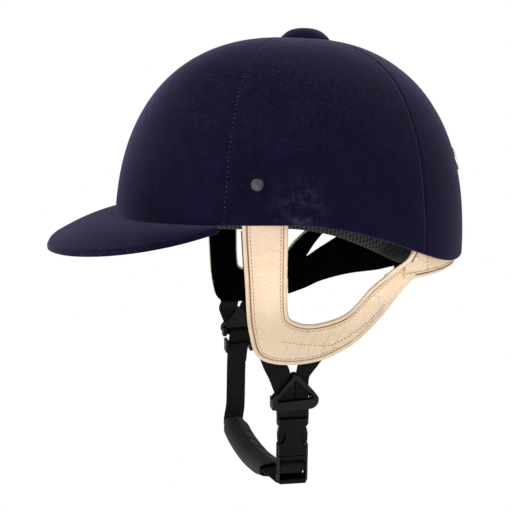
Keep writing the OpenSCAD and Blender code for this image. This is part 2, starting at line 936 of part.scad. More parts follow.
socket_top = divider_low - 1.3;
socket_low = socket_top - socket_len;
ear_h = 6.8;
ear_root = 0.2;
ear_gap = webbing_w + 0.4;
ear_w = (buckle_w - ear_gap) / 2;
socket_bar_z = socket_top - 2.8;
socket_bar_d = bar_d - 0.4;
cavity_half_w = buckle_w / 2 - 1.6;
cavity_t = buckle_t - 3.2;
notch_r = 8.4;
notch_out = 2.5;
notch_z = socket_low + 15.3;
bevel_w = 1.6;
bevel_t = 2;

module buckle_section(width) {
  w = width / 2;
  t = buckle_t / 2;
  polygon([
    [w, t - bevel_t], [w - bevel_w, t], [bevel_w - w, t], [-w, t - bevel_t],
    [-w, bevel_t - t], [bevel_w - w, -t], [w - bevel_w, -t], [w, bevel_t - t]
  ]);
}

module on_buckle() {
  translate([buckle_x, bar_y, 0]) rotate([0, 0, -buckle_turn]) children();
}

// The loop twists between the divider's bar and the turned socket's bar
function twisted(p) =
  let (a = -buckle_turn * smooth((bar_z - 3.6 - p[2]) / 2.8))
  [buckle_x + p[0] * cos(a) - p[1] * sin(a), bar_y + p[0] * sin(a) + p[1] * cos(a), p[2]];

function loop_section(c) = [for (q = [[-1, loop_out], [1, loop_out], [1, loop_in], [-1, loop_in]])
  twisted([q[0] * webbing_w / 2, q[1] * c[0], c[2] + q[1] * c[1]])];

loop_course = concat(
  [for (a = [0:15:180]) [cos(a), sin(a), bar_z]],
  [for (k = [1:5]) [-1, 0, bar_z + (socket_bar_z - bar_z) * k / 6]],
  [for (a = [180:15:360]) [cos(a), sin(a), socket_bar_z]],
  [for (k = [1:5]) [1, 0, socket_bar_z + (bar_z - socket_bar_z) * k / 6]]
);

module buckle_loop() {
  color(black_cloth) sweep([for (c = loop_course) loop_section(c)], true);
}

module buckle_socket() {
  color(plastic) on_buckle() {
    difference() {
      translate([0, 0, socket_low]) linear_extrude(socket_len - ear_h) buckle_section(buckle_w);
      translate([-cavity_half_w, -cavity_t / 2, socket_low - 1])
        cube([2 * cavity_half_w, cavity_t, socket_len - ear_h - 1.5]);
      for (s = [-1, 1]) translate([s * (buckle_w / 2 + notch_out), buckle_t, notch_z]) rotate([90, 0, 0])
        cylinder(r = notch_r, h = 2 * buckle_t, $fn = 64);
    }
    for (s = [-1, 1])
      translate([s * (ear_gap + ear_w) / 2 - ear_w / 2, -buckle_t / 2 + 1.5, socket_top - ear_h - ear_root])
        cube([ear_w, buckle_t - 3, ear_h + ear_root]);
    translate([-ear_gap / 2 - 1, 0, socket_bar_z]) rotate([0, 90, 0])
      cylinder(d = socket_bar_d, h = ear_gap + 2, $fn = 48);
  }
}

plug_top = socket_low - 0.4;
plug_low = plug_top - plug_len;
window_top = plug_top - 2.5;
window_low = plug_low + 3.5;
plug_bar_z = window_top - 7;
plug_bar_d = 5.2;
tongue_half_w = 2.5;

module buckle_plug() {
  color(plastic) on_buckle() {
    difference() {
      translate([0, 0, plug_low]) linear_extrude(plug_len) buckle_section(buckle_w);
      translate([-ear_gap / 2, -buckle_t, window_low])
        cube([ear_gap, 2 * buckle_t, window_top - window_low]);
      for (s = [-1, 1]) translate([s * buckle_w / 2, 0, plug_low]) rotate([0, 45, 0])
        cube([3, 2 * buckle_t, 3], center = true);
    }
    translate([-ear_gap / 2 - 1, 0, plug_bar_z]) rotate([0, 90, 0])
      cylinder(d = plug_bar_d, h = ear_gap + 2, $fn = 48);
    translate([-tongue_half_w, -2, plug_top - 0.5]) cube([2 * tongue_half_w, 4, socket_len - ear_h - 4.5]);
  }
}

// Spring arms: each has a pressing pad that shows in the socket's notch
arm_t = cavity_t - 1;
arm_root_x = buckle_w / 2 - 3.2;
arm_half = 1;
arm_low = plug_top + gap;
pad_out = buckle_w / 2 - 0.3;
pad_in = arm_root_x - 2.2;

module latch_arm(s) {
  color(plastic) on_buckle() translate([0, arm_t / 2, 0]) rotate([90, 0, 0]) linear_extrude(arm_t)
    polygon([for (p = [
      [arm_root_x - arm_half, arm_low], [arm_root_x + arm_half, arm_low],
      [arm_root_x + arm_half, notch_z - 6.6], [pad_out - 0.2, notch_z - 5.6], [pad_out, notch_z],
      [pad_out - 0.8, notch_z + 4.5], [pad_out - 2.8, notch_z + 6.8], [pad_in, notch_z + 5.5],
      [pad_in - 0.6, notch_z - 5], [arm_root_x - arm_half, notch_z - 8]
    ]) [s * p[0], p[1]]]);
}

module latch_arm_front() {
  latch_arm(1);
}

module latch_arm_rear() {
  latch_arm(-1);
}

// Chin strap: points are x, y and z along the middle of the webbing

loop_mid = (loop_in + loop_out) / 2;
keeper_x = divider_right_x + 1.4;
keeper_top = bar_z - 6.2;
keeper_h = 11.5;
keeper_wall = 2.6;
keeper_rod_d = 1.8;
keeper_rod_drop = 3.5;
keeper_bar_d = 3;

function strap_section(p, a, b, half_w, half_t) =
  let (
    d = [b[1] - a[1], b[2] - a[2]] / norm([b[1] - a[1], b[2] - a[2]]),
    n = [0, -d[1], d[0]] * half_t,
    w = [half_w, 0, 0]
  )
  [p - w - n, p + w - n, p + w + n, p - w + n];

module ribbon(path) {
  n = len(path);
  sweep([for (i = [0:n - 1])
    strap_section(path[i], path[max(i - 1, 0)], path[min(i + 1, n - 1)], webbing_w / 2, webbing_t / 2)]);
}

// From the sewn tail, up through the slider, round the right bar, down and under the chin
tail_points = [
  [divider_right_x + 3.2, -bar_y + 1.9, bar_z - 28.2],
  [divider_right_x + 2, -bar_y + 2.6, bar_z - 16.2],
  [divider_right_x + 0.6, -bar_y + loop_mid, bar_z - 7.2],
  [divider_right_x, -bar_y + loop_mid, bar_z - 1]
];
turn_points = [for (a = [0:20:180])
  [divider_right_x, -bar_y + loop_mid * cos(a), bar_z + loop_mid * sin(a)]];
hang_points = [
  [divider_right_x, -bar_y - loop_mid, bar_z - 1], [divider_right_x + 0.6, -bar_y - loop_mid, bar_z - 7.2],
  [divider_right_x + 2, -bar_y - 2.4, bar_z - 16.2], [divider_right_x + 3.1, -bar_y - 0.3, bar_z - 25.2],
  [divider_right_x + 3.7, -bar_y + 0.2, bar_z - 40.2], [divider_right_x + 4.3, -bar_y + 1.2, bar_z - 57.2],
  [divider_right_x + 5.5, -bar_y + 4, bar_z - 72.2], [divider_right_x + 8.5, -bar_y + 10, bar_z - 80.8]
];
pad_points = [
  [32.5, -62, bar_z - 83.2], [32.3, -40, bar_z - 83.8], [31.5, -15, bar_z - 81.7],
  [30, 12, bar_z - 77.5], [28.6, 35, bar_z - 71.2], [27.4, 54, bar_z - 64.6]
];
pad_path = curve(pad_points, 5);
webbing_stop = 23;
webbing_path = concat(
  tail_points, turn_points, curve(hang_points, 2),
  [for (i = [0:webbing_stop]) pad_path[i]]
);

module chin_webbing() {
  color(black_cloth) ribbon(webbing_path);
}

// The short end threads the plug's bar and runs to the sleeve, in the buckle's own frame
end_turn = plug_bar_d / 2 + 0.15 + webbing_t / 2;
end_path = concat(
  [[0, -10, plug_bar_z + 3.7], [0, -5.2, plug_bar_z + 4.2]],
  [for (a = [100:-25:-100]) [0, end_turn * cos(a), plug_bar_z + end_turn * sin(a)]],
  [[0, -6.5, plug_bar_z - 6.4], [0, -11, plug_bar_z - 9.2]],
  [[0, -16, plug_bar_z - 12], [0, -21.2, plug_bar_z - 14.4]]
);

module strap_end_webbing() {
  color(black_cloth) on_buckle() ribbon(end_path);
}

// Slide adjuster: two sides, a rod before the webbing and a bar between its layers
module strap_keeper() {
  half_gap = webbing_w / 2 + 1.2;
  rod_y = loop_mid + webbing_t / 2 + keeper_rod_d / 2 + gap;
  back_y = -loop_out - 0.4;
  color(plastic) translate([keeper_x, -bar_y, keeper_top]) {
    for (s = [-1, 1]) translate([s * (half_gap + keeper_wall / 2) - keeper_wall / 2, back_y, -keeper_h])
      cube([keeper_wall, rod_y + keeper_rod_d / 2 + 0.4 - back_y, keeper_h]);
    translate([-half_gap - 1, rod_y, -keeper_rod_drop]) rotate([0, 90, 0])
      cylinder(d = keeper_rod_d, h = 2 * half_gap + 2, $fn = 32);
    translate([-half_gap - 1, 0, -keeper_rod_drop - 2.5]) rotate([0, 90, 0])
      cylinder(d = keeper_bar_d, h = 2 * half_gap + 2, $fn = 32);
  }
}

// Padded sleeve: an oval tube that draws in at its ends and creases across
pad_sides = 16;
crease_count = 4;
hole_half_w = webbing_w / 2 + 0.8;
hole_half_t = webbing_t / 2 + 0.9;

function pad_swell(u) = 0.8 + 0.2 * pow(sin(180 * min(max(u, 0.02), 0.98)), 0.35);

function pad_ring(i, half_w, half_t, power, crease) =
  let (
    n = len(pad_path),
    p = pad_path[i],
    a = pad_path[max(i - 1, 0)],
    b = pad_path[min(i + 1, n - 1)],
    d = [b[1] - a[1], b[2] - a[2]] / norm([b[1] - a[1], b[2] - a[2]]),
    dip = crease * pow(abs(sin(180 * crease_count * i / (n - 1) + 90)), 8)
  )
  [for (k = [0:pad_sides - 1])
    let (
      t = 360 * (k + 0.5) / pad_sides,
      w = half_w * signed_power(cos(t), power),
      h = half_t * signed_power(sin(t), power) - (sin(t) > 0 ? dip * sin(t) : 0)
    )
    p + [w, 0, 0] + [0, -d[1], d[0]] * h];

function tube_faces(n, k) =
  let (o = n * k)
  concat(
    [for (f = sweep_faces(n, k, true)) if (max(f) - min(f) < 3 * k) f],
    [for (f = sweep_faces(n, k, true)) if (max(f) - min(f) < 3 * k) [f[2] + o, f[1] + o, f[0] + o]],
    [for (j = [0:k - 1], part = [0, 1])
      let (j2 = wrap(j + 1, k))
      part == 0 ? [j, o + j2, j2] : [j, o + j, o + j2]],
    [for (j = [0:k - 1], part = [0, 1])
      let (j2 = wrap(j + 1, k), e = (n - 1) * k)
      part == 0 ? [e + j, e + j2, o + e + j2] : [e + j, o + e + j2, o + e + j]]
  );

module chin_pad() {
  n = len(pad_path);
  outer = [for (i = [0:n - 1])
    let (s = pad_swell(i / (n - 1)))
    pad_ring(i, pad_w / 2 * (0.6 + 0.4 * s), pad_t / 2 * s, 0.62, pad_crease)];
  inner = [for (i = [0:n - 1]) pad_ring(i, hole_half_w, hole_half_t, 0.3, 0)];
  color(grey_mesh) polyhedron(
    points = [for (ring = concat(outer, inner), p = ring) p],
    faces = tube_faces(n, pad_sides),
    convexity = 6
  );
}

outer_shell();
cover_front();
cover_left();
cover_right();
cover_rear();
peak_core();
peak_cover();
peak_underside();
crown_button();
button_shank();
button_washer();
impact_liner();
crown_pad();
headband();
hook_patches();
rear_plate();
side_rivet_left();
side_rivet_right();
rivet_washer_left();
rivet_washer_right();
harness_tab_left();
harness_tab_right();
nape_band();
nape_lining();
neck_band();
flap_leather_left();
flap_leather_right();
flap_lining_left();
flap_lining_right();
flap_piping_left();
flap_piping_right();
front_webbing_left();
front_webbing_right();
rear_webbing_left();
rear_webbing_right();
divider_left();
divider_right();
buckle_loop();
buckle_socket();
buckle_plug();
latch_arm_front();
latch_arm_rear();
chin_webbing();
strap_keeper();
chin_pad();
strap_end_webbing();
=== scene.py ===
import bmesh
import bpy
import numpy as np
from bpy.props import FloatProperty, FloatVectorProperty, PointerProperty
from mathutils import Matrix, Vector


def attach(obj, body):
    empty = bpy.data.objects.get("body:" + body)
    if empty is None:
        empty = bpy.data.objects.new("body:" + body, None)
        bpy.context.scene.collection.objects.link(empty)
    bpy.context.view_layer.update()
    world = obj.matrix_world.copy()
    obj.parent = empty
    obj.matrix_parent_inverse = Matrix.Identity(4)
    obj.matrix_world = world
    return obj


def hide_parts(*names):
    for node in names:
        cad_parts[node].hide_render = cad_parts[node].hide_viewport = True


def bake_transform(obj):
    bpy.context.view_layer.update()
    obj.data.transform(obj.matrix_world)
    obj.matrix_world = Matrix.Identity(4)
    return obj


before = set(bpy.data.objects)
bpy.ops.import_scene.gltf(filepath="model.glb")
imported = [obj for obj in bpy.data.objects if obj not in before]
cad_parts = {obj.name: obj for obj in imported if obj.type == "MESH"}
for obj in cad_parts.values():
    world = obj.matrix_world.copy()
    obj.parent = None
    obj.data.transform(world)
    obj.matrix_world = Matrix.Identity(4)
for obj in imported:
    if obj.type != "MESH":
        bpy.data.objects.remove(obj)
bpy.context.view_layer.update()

bl_info = {
    "name": "Riding Helmet",
    "version": (1, 0, 0),
    "blender": (4, 5, 0),
    "location": "View3D > Sidebar > Helmet",
    "description": "Dresses the riding helmet's frame in velvet, leather, webbing and moulded plastic",
    "category": "Object",
}

# Shapes are worked out in millimetres and stored in metres.
MM = 0.001

# Sizes of the dome, as the frame has them.
DOME_FRONT, DOME_REAR, DOME_HALF_W, DOME_H = 134.0, 136.0, 107.0, 165.0
PLAN_POWER = 2.2
FRONT_POWER, REAR_POWER, SIDE_POWER = 2.49, 2.47, 2.2
RIM_SIDE_Z, RIM_REAR_Z, RIM_DIP = 43.3, 8.0, 3.0
LINER_OUT, LINER_IN = 4.6, 22.1
TAB_OUT, HEADBAND_OUT, HEADBAND_T, HEADBAND_H, HEADBAND_DROP = 22.4, 26.6, 7.0, 22.0, 8.0

# Peak
PEAK_REACH, PEAK_HALF_SWEEP, PEAK_TIP_Z, PEAK_EDGE_LIFT, PEAK_T = 49.0, 58.5, 17.0, 21.6, 3.9

# Harness
BAR_Y, BAR_Z = 76.9, -87.8
FLAP_HALF_W, FLAP_HALF_L, FLAP_BEND_X, FLAP_FLARE = 83.9, 104.9, 10.0, 0.12
WEBBING_W, WEBBING_T = 18.0, 1.4
LEFT_X, RIGHT_X = 18.6, 23.0
BUCKLE_TURN = -8.0
OUTER_EDGE = [
    (53.4, 66.0), (53.6, 50.0), (53.4, 34.5), (51.8, 2.0), (49.2, -35.6), (40.2, -55.2), (8.0, -57.6),
    (-19.6, -46.6), (-40.0, -27.2), (-52.0, -11.2), (-59.6, -2.4), (-63.5, 0.8),
]
EAR_EDGE = [
    (24.2, 66.0), (24.2, 50.0), (24.2, 34.5), (24.4, 2.0), (23.9, -18.6), (20.8, -26.2), (6.0, -29.5),
    (-16.0, -23.0), (-33.0, -5.0), (-48.5, 7.2), (-59.0, 13.2), (-63.5, 16.5),
]


def smooth(u):
    """Eases from 0 to 1."""
    u = np.clip(u, 0, 1)
    return u * u * (3 - 2 * u)


def power(v, e):
    """A power that keeps its sign."""
    return np.sign(v) * np.abs(v) ** e


def profile_power(t):
    """Roundness of the dome's profile at an angle from straight ahead, in degrees."""
    c = np.cos(np.radians(t))
    return np.where(c > 0, FRONT_POWER, REAR_POWER) * c**2 + SIDE_POWER * (1 - c**2)


def plan(t, depth):
    """The dome's plan outline, a depth inside the velvet's face."""
    c, s = np.cos(np.radians(t)), np.sin(np.radians(t))
    x = power(c, 2 / PLAN_POWER) * (np.where(c > 0, DOME_FRONT, DOME_REAR) - depth)
    return x, power(s, 2 / PLAN_POWER) * (DOME_HALF_W - depth)


def dome(t, s, depth):
    """Points at plan angle t and tilt s from the crown."""
    q = profile_power(t)
    x, y = plan(t, depth)
    r = np.sin(np.radians(s)) ** (2 / q)
    z = (DOME_H - depth) * np.cos(np.radians(s)) ** (2 / q)
    return np.stack([x * r, y * r, z + 0 * r], -1)


def tilt(t, z, depth):
    """Tilt from the crown at which a layer reaches a height."""
    return np.degrees(np.arccos(np.clip(z / (DOME_H - depth), 0, 1) ** (profile_power(t) / 2)))


def dome_at(t, z, depth):
    """Points at plan angle t and height z; below the base plane the wall goes straight down."""
    p = dome(t, tilt(t, np.maximum(z, 0), depth), depth)
    p[..., 2] = z
    return p


def from_front(t):
    """Angle from straight ahead, the same on both sides."""
    a = np.abs(np.asarray(t, float))
    return np.where(a > 180, 360 - a, a)


def rim_z(t):
    """Height of the rim: high at the brow and the ears, low at the nape."""
    a = from_front(t)
    rise = smooth((143 - a) / 65) ** 1.1
    dip = np.where(a < 90, RIM_DIP * np.cos(np.radians(a)) ** 4, 0)
    return RIM_REAR_Z + (RIM_SIDE_Z - RIM_REAR_Z) * rise - dip


def curve(points, steps):
    """A smooth curve through points, with that many steps from one point to the next."""
    p = np.asarray(points, float)
    p = np.vstack([p[0], p, p[-1]])
    u = np.linspace(0, 1, steps, endpoint=False)[:, None]
    parts = [
        0.5 * (2 * b + (c - a) * u + (2 * a - 5 * b + 4 * c - d) * u**2 + (3 * b - a - 3 * c + d) * u**3)
        for a, b, c, d in zip(p, p[1:], p[2:], p[3:])
    ]
    return np.vstack(parts + [p[-1:]])


def run_along(path):
    """Distance along a path to each of its points."""
    return np.concatenate([[0], np.cumsum(np.linalg.norm(np.diff(path, axis=0), axis=1))])


def sampled(path, at):
    """Points at distances along a path."""
    run = run_along(path)
    return np.stack([np.interp(at, run, path[:, k]) for k in range(path.shape[1])], -1)


def spaced(path, count):
    """The same path with evenly spaced points."""
    return sampled(path, np.linspace(0, run_along(path)[-1], count))


def unit(v):
    """Vectors made one long."""
    return v / np.linalg.norm(v, axis=-1, keepdims=True)


def headings(path):
    """Unit tangents along a path."""
    return unit(np.gradient(path, axis=0))


def hump(x, wide):
    """A bell-shaped rise round 0."""
    return np.exp(-((x / wide) ** 2))


def ripple(p, scale, seed):
    """A slow wave pattern over points, between -1 and 1, the same on every run."""
    rng = np.random.default_rng(seed)
    total = 0
    for k in range(6):
        turn = unit(rng.normal(size=3))
        total = total + np.sin(p @ turn / scale * (1 + 0.5 * k) + rng.uniform(0, 6.28)) / (1 + 0.5 * k)
    return total / 2.6


# Making meshes


def placed(name, data):
    """An object in the scene for a mesh, lamp or camera."""
    obj = bpy.data.objects.new(name, data)
    bpy.context.scene.collection.objects.link(obj)
    return obj


def shaded_smooth(mesh):
    mesh.polygons.foreach_set("use_smooth", [True] * len(mesh.polygons))


def lay(across, along):
    """Where each point lies on its cloth, in millimetres across and along it."""
    return np.stack(np.broadcast_arrays(across, along), -1)


def new_object(name, points, faces, finish, uv=None):
    """A smooth-shaded mesh from points in millimetres, with a finish by its name."""
    mesh = bpy.data.meshes.new(name)
    mesh.from_pydata((np.asarray(points, float) * MM).tolist(), [], faces)
    if uv is not None:
        layer = mesh.uv_layers.new(name="lay")
        corner = np.empty(len(mesh.loops), int)
        mesh.loops.foreach_get("vertex_index", corner)
        layer.data.foreach_set("uv", (np.asarray(uv, float) * MM)[corner].ravel())
    mesh.materials.append(finish_named(finish))
    shaded_smooth(mesh)
    return placed(name, mesh)


def grid_faces(rows, cols, wrap_rows=False, wrap_cols=False):
    """Quads of a grid whose rows go down and whose columns go right, seen from outside."""
    faces = []
    for r in range(rows if wrap_rows else rows - 1):
        for c in range(cols if wrap_cols else cols - 1):
            r2, c2 = (r + 1) % rows, (c + 1) % cols
            faces.append((r * cols + c, r2 * cols + c, r2 * cols + c2, r * cols + c2))
    return faces


def facing_out(obj):
    """Turns the faces of a closed mesh outwards."""
    bm = bmesh.new()
    bm.from_mesh(obj.data)
    bmesh.ops.recalc_face_normals(bm, faces=bm.faces)
    bm.to_mesh(obj.data)
    bm.free()
    return obj


def slab(name, front, back, finish, wrap=False, uv=None):
    """A closed sheet between a front grid and a back grid."""
    rows, cols = front.shape[:2]
    n = rows * cols
    faces = grid_faces(rows, cols, wrap_cols=wrap)
    faces += [tuple(k + n for k in reversed(f)) for f in faces]
    if not wrap:
        for first in (0, cols - 1):
            faces += [(a, a + cols, a + cols + n, a + n) for a in range(first, n - cols, cols)]
    across = list(range(cols)) + ([0] if wrap else [])
    for first in (0, (rows - 1) * cols):
        faces += [(first + a, first + b, first + b + n, first + a + n) for a, b in zip(across, across[1:])]
    points = np.concatenate([front.reshape(-1, 3), back.reshape(-1, 3)])
    both = None if uv is None else np.concatenate([uv.reshape(-1, 2)] * 2)
    return facing_out(new_object(name, points, faces, finish, both))


def sweep(name, sections, finish, closed=False, uv=None):
    """A solid through like closed sections, capped at both ends unless it closes on itself."""
    n, k = sections.shape[:2]
    faces = grid_faces(n, k, wrap_rows=closed, wrap_cols=True)
    if not closed:
        faces += [tuple(range(k)), tuple(range((n - 1) * k, n * k))]
    flat = None if uv is None else uv.reshape(-1, 2)
    return facing_out(new_object(name, sections.reshape(-1, 3), faces, finish, flat))


def modified(obj, kind, **settings):
    """Adds a modifier and applies it."""
    modifier = obj.modifiers.new(kind, kind)
    for key, value in settings.items():
        setattr(modifier, key, value)
    return applied(obj)


def applied(obj):
    """Replaces the mesh with its modified form."""
    deps = bpy.context.evaluated_depsgraph_get()
    made = obj.evaluated_get(deps)
    mesh = bpy.data.meshes.new_from_object(made, preserve_all_data_layers=True, depsgraph=deps)
    obj.modifiers.clear()
    obj.data = mesh
    return obj


def joined(name, objs):
    """One object from several."""
    bm = bmesh.new()
    for obj in objs:
        bm.from_mesh(obj.data)
    mesh = bpy.data.meshes.new(name)
    bm.to_mesh(mesh)
    bm.free()
    mesh.materials.append(objs[0].data.materials[0])
    for obj in objs:
        bpy.data.objects.remove(obj)
    return placed(name, mesh)


def mirrored(points, side):
    """Points of the left side, or their mirror image on the right."""
    return points * np.array([1, 1 if side == "left" else -1, 1])


def stands_for(nodes):
    """The piece takes the place of its CAD nodes, if it has any: they are hidden."""
    if nodes:
        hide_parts(*nodes)


def finished(obj, body, slot, *nodes):
    """A piece that rides on one body."""
    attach(obj, body)
    stands_for(nodes)


def moulded(name, node, finish, body, slot, edge):
    """A copy of a CAD node with its edges rounded, as a moulded or turned piece has them."""
    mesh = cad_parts[node].data.copy()
    bm = bmesh.new()
    bm.from_mesh(mesh)
    bmesh.ops.remove_doubles(bm, verts=bm.verts, dist=1e-6)
    bmesh.ops.dissolve_limit(
        bm, angle_limit=0.02, use_dissolve_boundaries=False, verts=bm.verts, edges=bm.edges
    )
    bm.to_mesh(mesh)
    bm.free()
    mesh.materials.clear()
    mesh.materials.append(finish_named(finish))
    shaded_smooth(mesh)
    obj = placed(name, mesh)
    modified(
        obj, "BEVEL", width=edge * MM, segments=3, limit_method="ANGLE", angle_limit=0.5,
        use_clamp_overlap=True, harden_normals=False,
    )
    modified(obj, "WEIGHTED_NORMAL", keep_sharp=True)
    finished(obj, body, slot, node)


# Materials


class Number:
    """A number in a material's nodes; arithmetic on it adds Math nodes."""

    def __init__(self, finish, socket):
        self.finish, self.socket = finish, socket

    def math(self, operation, *others):
        return self.finish.node("ShaderNodeMath", dict(enumerate([self, *others])), operation=operation)

    def __add__(self, other):
        return self.math("ADD", other)

    __radd__ = __add__

    def __sub__(self, other):
        return self.math("SUBTRACT", other)

    def __rsub__(self, other):
        return self.finish.node("ShaderNodeMath", {0: other, 1: self}, operation="SUBTRACT")

    def __mul__(self, other):
        return self.math("MULTIPLY", other)

    __rmul__ = __mul__

    def wave(self):
        """A sine between 0 and 1."""
        return self.math("SINE") * 0.5 + 0.5


class Finish:
    """A Principled material: constants sit on its sockets, and what varies is linked to them."""

    def __init__(self, name, **constants):
        self.material = bpy.data.materials.new(name)
        self.material.use_nodes = True
        self.tree = self.material.node_tree
        self.shader = self.tree.nodes["Principled BSDF"]
        for key, value in constants.items():
            self.shader.inputs[key.replace("_", " ").title().replace("Ior", "IOR")].default_value = value
        self.place = self.tree.nodes.new("ShaderNodeTexCoord")

    def put(self, socket, value):
        """Links a wrapped socket, or sets a plain value."""
        if isinstance(value, Number):
            self.tree.links.new(value.socket, socket)
        else:
            socket.default_value = value

    def node(self, kind, values, output=0, **settings):
        """A node with its settings made first, then its sockets filled."""
        node = self.tree.nodes.new(kind)
        for key, value in settings.items():
            setattr(node, key, value)
        for key, value in values.items():
            self.put(node.inputs[key], value)
        return Number(self, node.outputs[output])

    def where(self, uv=False):
        return Number(self, self.place.outputs["UV" if uv else "Object"])

    def noise(self, scale, detail=3.0, roughness=0.55):
        """A noise pattern; three scales stretch it along the axes."""
        vector = self.where()
        if isinstance(scale, tuple):
            vector, scale = self.node("ShaderNodeMapping", {"Vector": vector, "Scale": scale}), 1.0
        values = {"Vector": vector, "Scale": scale, "Detail": detail, "Roughness": roughness}
        return self.node("ShaderNodeTexNoise", values)

    def cells(self, scale, feature="F1"):
        return self.node("ShaderNodeTexVoronoi", {"Vector": self.where(), "Scale": scale}, feature=feature)

    def axis(self, which, uv=False):
        return self.node("ShaderNodeSeparateXYZ", {0: self.where(uv)}, which)

    def ramp(self, value, low, high):
        """0 below low, 1 above high."""
        values = {0: value, 1: low, 2: high}
        return self.node("ShaderNodeMapRange", values, interpolation_type="SMOOTHSTEP")

    def blend(self, share, a, b):
        """A colour between a and b."""
        a, b = (c if isinstance(c, Number) else (*c[:3], 1.0) for c in (a, b))
        return self.node("ShaderNodeMix", {0: share, 6: a, 7: b}, 2, data_type="RGBA")

    def shades(self, share, base, low, high):
        """A colour between a darker and a lighter copy of a base."""
        return self.blend(share, tinted(base, low), tinted(base, high))

    def colour(self, value):
        self.put(self.shader.inputs["Base Color"], value)

    def roughness(self, value):
        self.put(self.shader.inputs["Roughness"], value)

    def bump(self, height, distance):
        """Relief of that many millimetres."""
        values = {"Height": height, "Distance": distance * MM, "Strength": 1.0}
        self.put(self.shader.inputs["Normal"], self.node("ShaderNodeBump", values))


def look():
    """The panel's settings."""
    return bpy.context.scene.helmet_look


def tinted(colour, gain):
    """A lighter or darker copy of a colour."""
    return tuple(min(1.0, c * gain) for c in colour[:3])


FINISHES = {}


def finish_named(name):
    """Each finish is made once."""
    if name not in FINISHES:
        FINISHES[name] = MAKERS[name]().material
    return FINISHES[name]


# Where the pile is brushed the wrong way, above the left flap
BRUSHED_AT = (0.024, 0.101, 0.051)


def velvet():
    """Short pile: dark from the front, greyer where it turns away, with brushed patches, pale specks, and
    pale dust laid thicker on the top and the peak as painted light.
    """
    base = look().velvet_colour
    f = Finish(
        "velvet", roughness=0.9, specular_ior_level=0.03, sheen_weight=look().velvet_sheen,
        sheen_roughness=0.42, sheen_tint=(0.52, 0.48, 0.82, 1.0),
    )
    pile = f.noise(1500, 2.0)
    nap = f.noise(26, 4.0, roughness=0.62)
    streak = f.noise((150, 150, 38))
    speck = f.ramp(f.noise(1500, 1.0), 0.7, 0.8)
    shade = f.ramp(pile * 0.45 + nap * 0.4 + streak * 0.25, 0.38, 0.78)
    cloth = f.shades(shade, base, 0.62, 1.75)
    values = {0: f.where(), 1: BRUSHED_AT}
    away = f.node("ShaderNodeVectorMath", values, "Value", operation="DISTANCE")
    fan = f.noise((150, 100, 170), 4.0)
    brushed = (1 - f.ramp(away, 0.003, 0.025)) * f.ramp(fan, 0.42, 0.72)
    # Pale dust over the velvet, laid thicker high on the dome and on the peak: painted light where the light
    # falls there.
    painted_light_top_and_peak = f.ramp(f.axis(2), 0.05, 0.15) + f.ramp(f.axis(0), 0.1, 0.14) * 1.8
    dust_and_painted_light = f.ramp(f.noise(620, 3.0), 0.54, 0.7) * painted_light_top_and_peak
    cloth = f.blend(brushed * 0.28 + dust_and_painted_light * 0.16, cloth, (0.075, 0.07, 0.1))
    f.colour(f.blend(speck * 0.35, cloth, (0.09, 0.085, 0.12)))
    f.bump(pile * 0.7 + nap * 0.3, 0.25)
    return f


# Distance of the leather's sewn groove from its edge, in metres
GROOVE_IN = 0.0029


def leather():
    """Cream leather with a fine grain, soft mottling and slight creases, with painted shade in the creases,
    in the sewn groove and low on the harness.
    """
    base = look().leather_colour
    f = Finish("leather", specular_ior_level=0.35, sheen_weight=0.04)
    grain = f.cells(780, "DISTANCE_TO_EDGE")
    pebble = f.ramp(grain, 0.02, 0.22)
    mottle = f.noise(42, 4.0)
    fine = f.noise(900, 2.0)
    crease = f.ramp(f.noise((150, 60, 260), 4.0), 0.4, 0.7)
    tone = f.shades(f.ramp(mottle, 0.3, 0.72), base, 0.93, 1.04)
    hide = f.blend((1 - pebble) * 0.22, tone, tinted(base, 0.72))
    from_edge = f.axis(0, uv=True)
    # Painted shade in the sewn groove, partly the browner tint of the leather there.
    groove = (1 - f.ramp((from_edge - GROOVE_IN).math("ABSOLUTE"), 0.0002, 0.0009)) * (0.7 + mottle * 0.6)
    # Painted shade in the hollows of the creases.
    wear_and_crease_shade = f.blend((1 - crease) * 0.25, hide, tinted(base, 0.86))
    # Painted shade low on the harness, where the leather turns down away from the light.
    painted_low_shade = (1 - f.ramp(f.axis(2) + mottle * 0.012, -0.032, 0.006)) * look().leather_low_shade
    f.colour(f.blend(groove * 0.95, f.blend(painted_low_shade, wear_and_crease_shade, tinted(base, 0.35)), (0.15, 0.075, 0.03)))
    f.roughness(0.42 + mottle * 0.2)
    f.bump(pebble * 0.25 + fine * 0.12 + crease, 0.25)
    return f


def piping_leather():
    """The same hide, stretched smooth round a cord, darker in random mottles and with painted shade low on
    the harness.
    """
    base = look().leather_colour
    f = Finish("piping_leather", specular_ior_level=0.35)
    mottle = f.noise(160, 3.0)
    hide = f.shades(f.ramp(mottle, 0.35, 0.7), base, 0.86, 1.0)
    # Painted shade low on the harness.
    painted_low_shade = (1 - f.ramp(f.axis(2), -0.032, 0.006)) * look().leather_low_shade
    f.colour(f.blend(painted_low_shade, hide, tinted(base, 0.35)))
    f.roughness(0.4 + mottle * 0.2)
    f.bump(mottle, 0.15)
    return f


def grained(name, grain, dark, pale, relief, rough=None, **constants):
    """One grain that shades, roughens and embosses a surface: its scale and detail, and two colours."""
    f = Finish(name, **constants)
    height = f.noise(*grain)
    f.colour(f.blend(height, dark, pale))
    if rough:
        f.roughness(rough[0] + height * rough[1])
    f.bump(height, relief)
    return f


def thread():
    """Waxed sewing thread."""
    dark, pale = (tinted(look().thread_colour, gain) for gain in (0.75, 1.15))
    return grained("thread", (2600, 1.0), dark, pale, 0.08, roughness=0.55, specular_ior_level=0.3)


def seam_thread():
    """Pale fibres and thread that show along the velvet's seam."""
    dark, pale = (0.03, 0.028, 0.05), (0.2, 0.19, 0.26)
    return grained("seam_thread", (1800, 1.0), dark, pale, 0.05, roughness=0.8, specular_ior_level=0.2)


